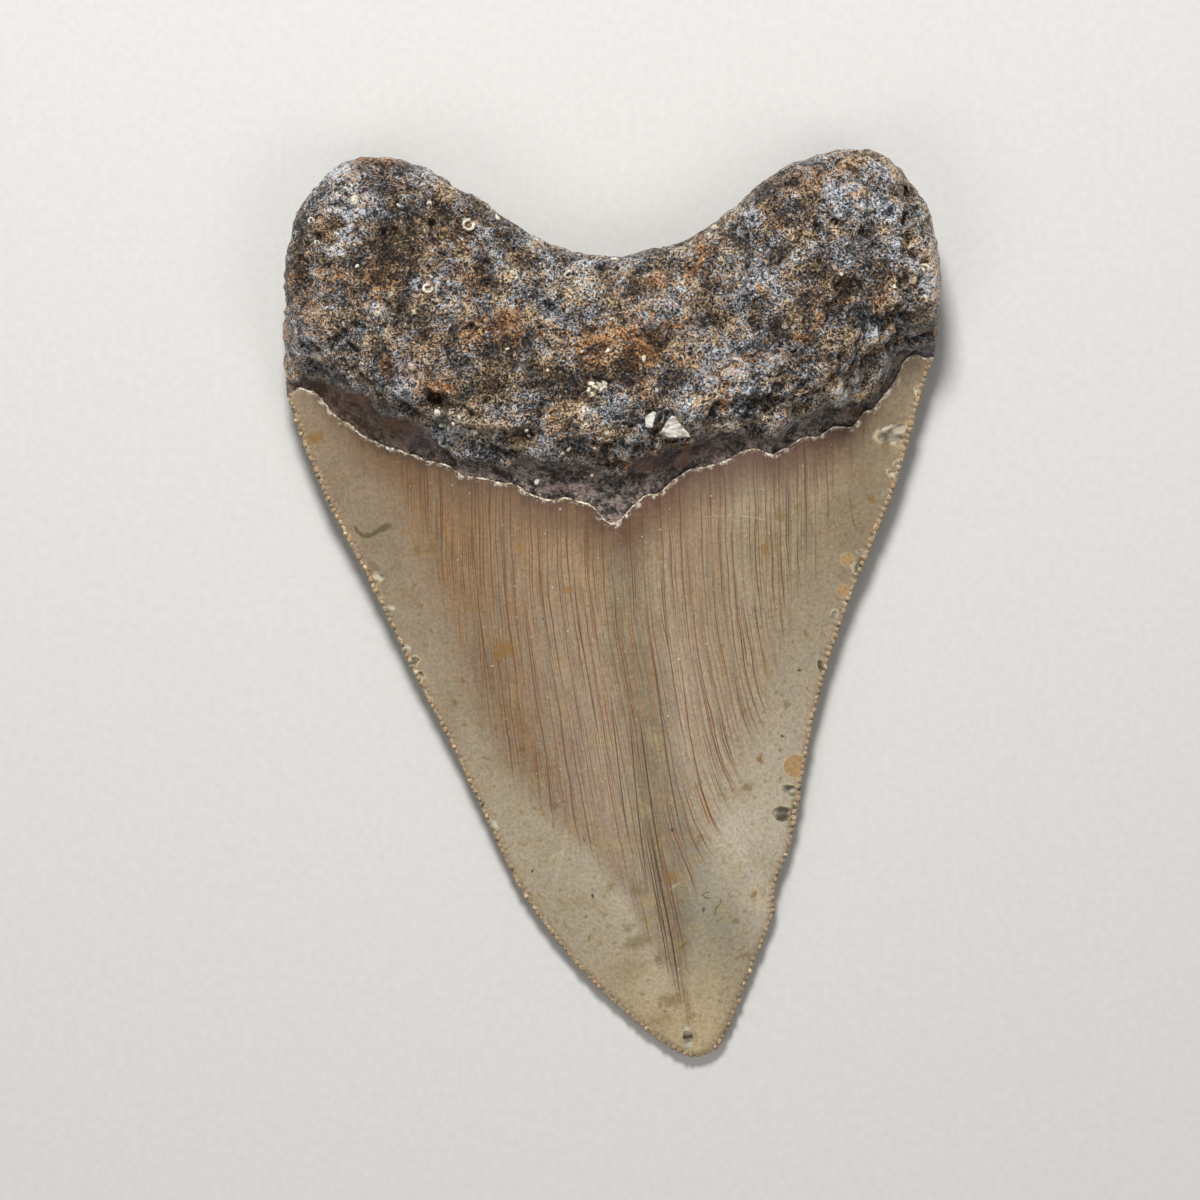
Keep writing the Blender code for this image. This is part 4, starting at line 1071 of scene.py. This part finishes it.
neck, in_mm = new_finish("bare_dentine")
past_lip, rust, rosy, pale = [add("Attribute", output=2, attribute_name=name)
                              for name in ("past_lip", "rust", "rosy", "pale")]
grain = add("TexNoise", Vector=in_mm, Scale=1.9, Detail=4.0, Roughness=0.7)
waves = add("TexNoise", Vector=in_mm, Scale=0.45, Detail=4.0, Roughness=0.65)
base = add("ValToRGB", add("Mix", 0.6, A=grain, B=waves), ramp=[
    (0.42, "#17120f"), (0.475, "#463b34"), (0.53, "#7d716a"), (0.585, "#c6beba")])
ring = add("Math PINGPONG", add("Math MULTIPLY_ADD", waves, 3.2, past_lip), 1.25)
layer_edge = add("Math MULTIPLY", add("MapRange", off(ring, 0.62), 0.16, 0.04),
                 add("MapRange", grain, 0.42, 0.62, 0.0, 0.8))
rust_reach = add("Math ADD", add("Math MULTIPLY_ADD", rust, 0.22, waves),
                 add("Math MULTIPLY", grain, 0.4))
colour = layered(
    base,
    (add("MapRange", add("SeparateXYZ", in_mm), -22.0, -36.0, 0.0, 0.5), "#5c3a1c"),
    (add("MapRange", rust_reach, 0.74, 0.86, 0.0, 0.85), "#754a2b"),
    (rosy, 0.5, "#8a7069"), (pale, 0.25, "#8d8d94"), (layer_edge, "#b3a89c"))
coat(colour, add("MapRange", grain, 0.3, 0.7, 0.28, 0.5),
     add("Math MULTIPLY_ADD", layer_edge, 0.5, grain), 0.65)
tooth_mesh.materials.append(neck)

# --- The tooth: the root's crust --------------------------------------------------------------------
# Phosphate crust on the root, worn by the sea bed: worm-like grains 0.4 mm wide, with painted
# shade between them and painted glints on their tops, in patches of blue-grey and of warm brown,
# with rust and pink soaked in. Painted shade also darkens its hollows, its pits, its pinholes and
# its labial face.

GRAIN = 0.50
# How strongly the lumps paint the crust lighter on their tops and darker in their hollows.
LUMP_PAINTED_SHADE = 1.6
CRUST_GLINT = 0.9
# How much darker the labial face is painted, as painted shade.
PAINTED_SHADE_BEHIND = 0.70

crust_finish, in_mm = new_finish("phosphate_crust")
rust, rosy, pale, hollow_shade, relief_shade, from_foot, lingual_face = [
    add("Attribute", output=2, attribute_name=name)
    for name in ("rust", "rosy", "pale", "hollow_shade", "relief_shade", "past_foot", "lingual")]

# The grains are a finer body with winding lines, whose bright colour is painted glints. They stand
# on lumps 2 mm wide.
glint_curls = add("TexNoise", Vector=in_mm, Scale=0.9 / GRAIN, Detail=2.0, Roughness=0.5, Distortion=0.8)
body = add("TexNoise", Vector=in_mm, Scale=1.2 / GRAIN, Detail=3.0, Roughness=0.6, Distortion=0.4)
grain = add("Math ADD", body, add("MapRange", off(glint_curls, 0.5), 0.11, 0.01, 0.0, 0.26))
lumps = add("TexNoise", Vector=in_mm, Scale=0.55, Detail=4.0, Roughness=0.6, Distortion=0.6)
tints = add("TexNoise", Vector=in_mm, Scale=0.62 / GRAIN, Detail=3.0, Roughness=0.8, output=1)
tint_warmth, tint_rust = [add("SeparateColor", tints, output=part) for part in (0, 1)]
clouds = add("TexNoise", Vector=in_mm, Scale=0.20, Detail=4.0, Roughness=0.6, output=1)
cloud_light, cloud_rust, cloud_warmth = [add("SeparateColor", clouds, output=part)
                                         for part in (0, 1, 2)]

# How light the crust is here: random clouds and pale patches, and painted shade that darkens the
# hollows of its lumps, its sunken parts and its hollow patches, with painted light on the tops. Then
# the colours of its grains from their feet to their tops, which are painted shade at the feet and
# painted glints at the tops.
tone_and_painted_shade = add("Math MULTIPLY_ADD", add("Math SUBTRACT", lumps, 0.5), LUMP_PAINTED_SHADE, cloud_light)
for share, source in ((0.40, pale), (-0.6, hollow_shade), (0.7, relief_shade)):
    tone_and_painted_shade = add("Math MULTIPLY_ADD", source, share, tone_and_painted_shade)
grain_and_painted_light = add("Math MULTIPLY_ADD", tone_and_painted_shade, 0.20, grain)
cool, warm, orange = [add("ValToRGB", grain_and_painted_light, ramp=ramp) for ramp in (
    [(0.55, "#070808"), (0.67, "#262626"), (0.76, "#606264"), (0.85, "#acb0b7"), (0.95, "#eaeef5")],
    [(0.55, "#0f0904"), (0.67, "#3a2916"), (0.76, "#7a5b39"), (0.85, "#be9669"), (0.95, "#f0d8b0")],
    [(0.55, "#140b05"), (0.67, "#4f2c13"), (0.77, "#a0602a"), (0.90, "#ecaa62")])]
warmth = add("Math MULTIPLY_ADD", cloud_warmth, 0.9, tint_warmth)
for share, source in ((-0.10, pale), (0.15, hollow_shade)):
    warmth = add("Math MULTIPLY_ADD", source, share, warmth)
rust_reach = add("Math MULTIPLY_ADD", rust, 0.24,
                 add("Math MULTIPLY_ADD", cloud_rust, 0.5, tint_rust))
# Pinholes, nearly black: painted shade in tiny pits, which the relief also sinks.
pinholes = add("TexVoronoi", Vector=in_mm, Scale=0.38)
pinhole_shade = add("MapRange", add("Math MULTIPLY_ADD", body, 0.16, pinholes), 0.25, 0.17, 0.0, 0.92)
colour = layered(
    cool, (add("MapRange", warmth, 0.86, 1.00, 0.0, 0.95), warm),
    (rosy, 0.55, add("MapRange", grain_and_painted_light, 0.68, 0.86), "#ad9189"),
    (add("MapRange", rust_reach, 0.82, 0.94, 0.0, 0.85), orange),
    (add("MapRange", from_foot, 0.6, 0.2), add("MapRange", body, 0.38, 0.55, 0.0, 0.8),
     "#b5aca2"),
    (pinhole_shade, "#0b0807"))
# Painted shade: the colour is scaled by the tone above, and the labial face is painted darker.
painted_shade_scale = add("Math MULTIPLY", add("MapRange", tone_and_painted_shade, 0.45, 1.35, 0.50, 1.52),
              add("MapRange", lingual_face, 0.0, 1.0, PAINTED_SHADE_BEHIND, 1.0))
relief = add("Math MULTIPLY_ADD", lumps, 3.2, grain)
relief = add("Math MULTIPLY_ADD", pinhole_shade, -0.6, relief)
coat(add("VectorMath SCALE", colour, Scale=painted_shade_scale), add("MapRange", grain, 0.45, 0.85, 0.48, 0.26),
     relief, 1.0)
tree.nodes["Principled BSDF"].inputs["Specular IOR Level"].default_value = CRUST_GLINT
tooth_mesh.materials.append(crust_finish)

tooth = made_object("fossil_tooth", tooth_mesh)
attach(tooth, "root")
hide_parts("tooth")

# --- The serrations ---------------------------------------------------------------------------------
# The cutting edges and the tip carry a row of fine rounded serrations, worn and stained. They are
# beads sunk in the edge, one to each pitch, with a few worn away.

BEAD_INSET = 0.58
BEAD_LIFT = 0.12
BEAD_SMALLEST = (0.40, 0.30, 0.20)
BEAD_LARGEST = (0.58, 0.58, 0.36)
BEAD_SHIFT = (0.12, 0.12, 0.06)
BEADS_LEFT = 0.86
BEAD_SEED = 4
# The depth and length of the wear, and where it starts in the noise.
BEAD_WEAR = (0.18, 0.40, 1.0)
WEAR_SEED = 1

# Worn enamel of the serrations: cream where it is fresh, stained orange and dark between.
worn_enamel = grained_finish("worn_enamel", [
    (0.34, "#4b4033"), (0.42, "#83745b"), (0.51, "#a19071"), (0.57, "#9a6c42"), (0.65, "#cbbe9f")],
    0.42, 0.1, 0.6, Scale=0.75, Detail=4.0, Roughness=0.75)


def new_tree(name, **inputs):
    """Starts a Geometry Nodes tree, and gives its geometry and these inputs, with spaces for _."""
    global tree
    tree = bpy.data.node_groups.new(name, "GeometryNodeTree")
    tree.interface.new_socket("Geometry", in_out="OUTPUT", socket_type="NodeSocketGeometry")
    for label, kind in {"Geometry": "Geometry", **inputs}.items():
        tree.interface.new_socket(label.replace("_", " "), in_out="INPUT",
                                  socket_type="NodeSocket" + kind)
    return add("NodeGroupInput", output=None).outputs[:-1]


def end_tree(instances, finish):
    """Ends the tree with the instances made real, in a finish."""
    real = add("GeometryNodeRealizeInstances", instances)
    add("NodeGroupOutput", add("GeometryNodeSetMaterial", Geometry=real, Material=finish),
        output=None)


def evaluated_mesh(name, holder):
    """What an object's modifiers make of it, as an ordinary mesh; the object goes."""
    bpy.context.view_layer.update()
    evaluated = holder.evaluated_get(bpy.context.evaluated_depsgraph_get())
    mesh = bpy.data.meshes.new_from_object(evaluated)
    holder.modifiers.clear()
    bpy.data.objects.remove(holder)
    mesh.name = name
    return mesh


def mesh_by_tree(name, data, values):
    """What the tree makes of some data with these values for its inputs, as an ordinary mesh."""
    holder = made_object(name + "_source", data)
    made = holder.modifiers.new("made", "NODES")
    made.node_group = tree
    sockets = [item for item in tree.interface.items_tree if item.in_out == "INPUT"][1:]
    for socket, value in zip(sockets, values):
        made[socket.identifier] = value
    return evaluated_mesh(name, holder)


def worn(mesh, depth, length, start):
    """Wears a mesh unevenly; depth and length are in millimetres."""
    noise.seed_set(WEAR_SEED)
    for vertex in mesh.vertices:
        shift = noise.noise_vector(vertex.co / (length * MM) + Vector((0.0, 0.0, start)))
        vertex.co += shift * depth * MM
    mesh.update()


bead_places = cutting_edge + sideways(cutting_edge) * BEAD_INSET
bead_heights = rim_height(cutting_edge[:, 1]) + BEAD_LIFT
bead_path = bpy.data.curves.new("bead_path", "CURVE")
bead_path.dimensions = "3D"
spline = bead_path.splines.new("POLY")
spline.points.add(len(bead_places) - 1)
for point, place, height in zip(spline.points, bead_places, bead_heights):
    point.co = (place[0] * MM, place[1] * MM, height * MM, 1.0)

path, count, smallest, largest, share_left, seed, finish, shift = new_tree(
    "bead_row", Count="Int", Smallest="Vector", Largest="Vector", Share_left="Float", Seed="Int",
    Finish="Material", Shift="Vector")
row = add("GeometryNodeResampleCurve", Curve=path, Count=count, mode="COUNT")
shifted = add("FunctionNodeRandomValue", add("VectorMath SCALE", shift, Scale=-1.0), shift,
              Seed=seed, data_type="FLOAT_VECTOR")
row = add("GeometryNodeSetPosition", Geometry=row, Offset=shifted)
heading = add("FunctionNodeAlignRotationToVector", Vector=add("GeometryNodeInputTangent"), axis="X")
size = add("FunctionNodeRandomValue", smallest, largest, Seed=seed, data_type="FLOAT_VECTOR")
is_left = add("FunctionNodeRandomValue", Probability=share_left, Seed=seed, output=3,
              data_type="BOOLEAN")
bead = add("GeometryNodeMeshUVSphere", Segments=8, Rings=5, Radius=MM)
end_tree(add("GeometryNodeInstanceOnPoints", Points=row, Selection=is_left, Instance=bead,
             Rotation=heading, Scale=size), finish)
bead_mesh = mesh_by_tree("serrations", bead_path, [
    serration_count, BEAD_SMALLEST, BEAD_LARGEST, BEADS_LEFT, BEAD_SEED, worn_enamel,
    Vector(BEAD_SHIFT) * MM])
worn(bead_mesh, *BEAD_WEAR)
bead_mesh.shade_smooth()
serrations = made_object("serrations", bead_mesh)
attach(serrations, "root")

# --- The chips of shell -----------------------------------------------------------------------------
# Two broken bits of sea shell, cemented in pockets of the crust: chalky, white and layered, with
# worn edges. The larger one has a slit in it.

CHIP_OUTLINE = [(-1.9, -0.9), (-0.5, -1.5), (2.5, -1.4), (0.6, 1.1), (-0.2, 1.7), (-0.9, 0.7)]
CHIP_PLACE = (8.7, 25.6)
CHIP_TILT = (-0.16, 0.22)
SMALL_CHIP_OUTLINE = [(-0.8, -0.9), (0.1, -1.1), (0.5, 0.1), (0.7, 1.1), (0.1, 1.2), (-0.8, 0.4)]
SMALL_CHIP_PLACE = (5.5, 26.5)
SMALL_CHIP_TILT = (0.10, 0.15)
CHIP_THICKNESS = 1.5
CHIP_STANDS_OUT = 0.75
CHIP_VOXEL = 0.11
CHIP_WEAR = (0.16, 0.6, 3.0)
CHIP_SHARP_ANGLE = 50.0
# The slit's x, y, half width, half length and depth.
CHIP_SLIT = (-0.75, 0.1, 0.12, 0.5, 0.5)
ABOVE_ALL = 60.0

shell_finish = grained_finish("chalky_shell", [
    (0.34, "#6f6355"), (0.44, "#a89f91"), (0.52, "#cfc9bd"), (0.66, "#ebe8e1")],
    0.55, 0.15, 0.8, (0.7, 2.6, 1.0), Scale=0.9, Detail=5.0, Roughness=0.7)

tooth_surface = BVHTree.FromPolygons([vertex.co.copy() for vertex in tooth_mesh.vertices],
                                     [polygon.vertices[:] for polygon in tooth_mesh.polygons])


def surface_at(x, y):
    """The place straight above a point where the tooth's upper face is, and which way it faces."""
    place, facing, _, _ = tooth_surface.ray_cast(Vector((x, y, ABOVE_ALL)) * MM,
                                                 Vector((0.0, 0.0, -1.0)))
    return place, facing


def add_chip(name, outline, place, tilt, slit):
    """Cuts a chip of shell from its outline and lays it in the crust, tilted and perhaps slit."""
    ends = [(x, y, z) for z in (CHIP_STANDS_OUT - CHIP_THICKNESS, CHIP_STANDS_OUT)
            for x, y in outline]
    count = len(outline)
    sides = [(at, (at + 1) % count, (at + 1) % count + count, at + count) for at in range(count)]
    mesh = bpy.data.meshes.new(name)
    mesh.from_pydata([Vector(end) * MM for end in ends], [],
                     [tuple(reversed(range(count))), tuple(range(count, 2 * count)), *sides])
    holder = made_object(name + "_source", mesh)
    fine = holder.modifiers.new("fine", "REMESH")
    fine.mode = "VOXEL"
    fine.voxel_size = CHIP_VOXEL * MM
    chip_mesh = evaluated_mesh(name, holder)
    worn(chip_mesh, *CHIP_WEAR)
    ground, _ = surface_at(*place)
    for vertex in chip_mesh.vertices:
        if slit:
            from_slit = math.hypot((vertex.co.x / MM - slit[0]) / slit[2],
                                   (vertex.co.y / MM - slit[1]) / slit[3])
            vertex.co.z -= slit[4] * MM * max(0.0, 1.0 - from_slit) * (vertex.co.z > 0.0)
        vertex.co.z += vertex.co.x * tilt[0] + vertex.co.y * tilt[1]
        vertex.co += ground
    chip_mesh.materials.append(shell_finish)
    chip_mesh.shade_smooth()
    chip_mesh.set_sharp_from_angle(angle=math.radians(CHIP_SHARP_ANGLE))
    chip = made_object(name + "_bit", chip_mesh)
    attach(chip, "root")
    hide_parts(name)


add_chip("shell_chip", CHIP_OUTLINE, CHIP_PLACE, CHIP_TILT, CHIP_SLIT)
add_chip("shell_chip_small", SMALL_CHIP_OUTLINE, SMALL_CHIP_PLACE, SMALL_CHIP_TILT, None)

# --- Worm tubes and crumbs on the crust -------------------------------------------------------------
# Coiled tubes that sea worms left on the root, and grains of broken shell caught in its hollows:
# lime, white to cream. Each is x, y and its width.

WORM_TUBES = [(-26.7, 45.7, 1.3), (-20.9, 55.2, 1.5), (-6.4, 48.0, 1.1), (-43.8, 55.8, 0.8),
              (45.3, 48.9, 1.4), (-43.0, 52.5, 0.7), (-38.3, 60.7, 1.0)]
CRUMBS = [
    (-37.4, 58.6, 1.5), (-34.0, 42.1, 0.9), (37.4, 57.3, 0.7), (17.7, 35.4, 0.8), (14.0, 53.9, 0.7),
    (14.9, 55.0, 0.9), (0.4, 50.3, 1.1), (4.5, 35.4, 0.8), (-26.6, 58.3, 0.8), (-28.8, 42.3, 0.7),
    (-9.4, 33.8, 0.6), (-0.7, 36.6, 0.8), (-25.2, 27.9, 1.1), (-24.6, 26.1, 0.9), (-23.8, 25.7, 0.8),
    (-22.2, 27.0, 0.9), (-23.0, 26.2, 0.7), (-19.8, 25.1, 1.2), (-12.1, 24.4, 0.9),
    (-12.5, 25.2, 0.6), (-3.0, 18.8, 0.8), (-10.9, 17.9, 0.9), (-3.4, 30.9, 0.9), (-2.6, 31.2, 0.8),
    (-1.9, 31.5, 0.9), (-1.2, 31.9, 1.0), (-3.1, 31.8, 0.8), (-1.4, 31.1, 0.8), (-2.9, 30.3, 0.7),
    (-1.9, 30.6, 0.5), (-32.8, 22.9, 0.8), (-32.2, 22.7, 0.6), (43.2, 52.0, 0.8), (40.7, 46.0, 0.6),
    (-16.9, 56.4, 0.7), (-13.9, 28.0, 0.5), (-6.3, 22.5, 0.7), (-7.3, 21.9, 0.6), (21.8, 27.1, 0.6),
    (-15.3, 36.9, 0.5), (-30.9, 57.9, 0.6), (26.8, 50.0, 0.5), (33.0, 47.9, 0.6), (-37.0, 49.0, 0.6),
]
# A tube's section is this share of its coil's radius, and the coil turns this many degrees.
TUBE_SHARE = 0.34
COIL_TURN = 310.0
TUBE_LIFT = 0.12
TUBE_WEAR = (0.12, 0.45, 5.0)
UNSTRETCHED = (1.0, 1.0, 1.0)
CRUMB_FLATTEST = (0.45, 0.28, 0.22)
CRUMB_ROUNDEST = (0.75, 0.55, 0.40)
CRUMB_LIFT = 0.10
CRUMB_WEAR = (0.26, 0.45, 5.0)
LARGEST_TURN = (0.3, 0.3, 6.28)
BIT_SEED = 7

lime = grained_finish("worm_lime", [
    (0.34, "#75654f"), (0.43, "#b3a68c"), (0.52, "#d8d0bc"), (0.64, "#f0ece2")],
    0.6, 0.15, 0.8, Scale=1.6, Detail=4.0, Roughness=0.75)


def settled_points(name, spots, lift):
    """Points on the crust for small pieces, with their widths and the way that each faces."""
    found = [surface_at(x, y) for x, y, _ in spots]
    mesh = bpy.data.meshes.new(name)
    mesh.from_pydata([place + facing * lift * MM for place, facing in found], [], [])
    mesh.attributes.new("width", "FLOAT", "POINT").data.foreach_set(
        "value", [width for _, _, width in spots])
    mesh.attributes.new("facing", "FLOAT_VECTOR", "POINT").data.foreach_set(
        "vector", [part for _, facing in found for part in facing])
    return mesh


for name, spots, lift, smallest_size, largest_size, wear in (
        ("worm_tubes", WORM_TUBES, TUBE_LIFT, UNSTRETCHED, UNSTRETCHED, TUBE_WEAR),
        ("lime_crumbs", CRUMBS, CRUMB_LIFT, CRUMB_FLATTEST, CRUMB_ROUNDEST, CRUMB_WEAR)):
    points, flattest, roundest, tube_share, seed, finish = new_tree(
        name, Flattest="Vector", Roundest="Vector", Tube_share="Float", Seed="Int",
        Finish="Material")
    if name == "worm_tubes":
        coil = add("GeometryNodeCurveArc", Resolution=14, Radius=0.5 * MM,
                   Sweep_Angle=math.radians(COIL_TURN))
        section = add("GeometryNodeCurvePrimitiveCircle", Resolution=7,
                      Radius=add("Math MULTIPLY", tube_share, 0.5 * MM))
        shape = add("GeometryNodeCurveToMesh", Curve=coil, Profile_Curve=section, Fill_Caps=True)
    else:
        shape = add("GeometryNodeMeshIcoSphere", Radius=MM, Subdivisions=2)
    width, facing = [add("GeometryNodeInputNamedAttribute", Name=label, data_type=kind)
                     for label, kind in (("width", "FLOAT"), ("facing", "FLOAT_VECTOR"))]
    size = add("FunctionNodeRandomValue", flattest, roundest, Seed=seed, data_type="FLOAT_VECTOR")
    turn = add("FunctionNodeRandomValue", (0.0, 0.0, 0.0), LARGEST_TURN, Seed=seed,
               data_type="FLOAT_VECTOR")
    turned = add("FunctionNodeRotateRotation", add(
        "FunctionNodeAlignRotationToVector", Vector=facing, axis="Z"), turn,
        rotation_space="LOCAL")
    end_tree(add("GeometryNodeInstanceOnPoints", Points=points, Instance=shape, Rotation=turned,
                 Scale=add("VectorMath SCALE", size, Scale=width)), finish)
    mesh = mesh_by_tree(name, settled_points(name + "_points", spots, lift), [
        smallest_size, largest_size, TUBE_SHARE, BIT_SEED, lime])
    worn(mesh, *wear)
    mesh.shade_smooth()
    bits = made_object(name, mesh)
    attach(bits, "root")
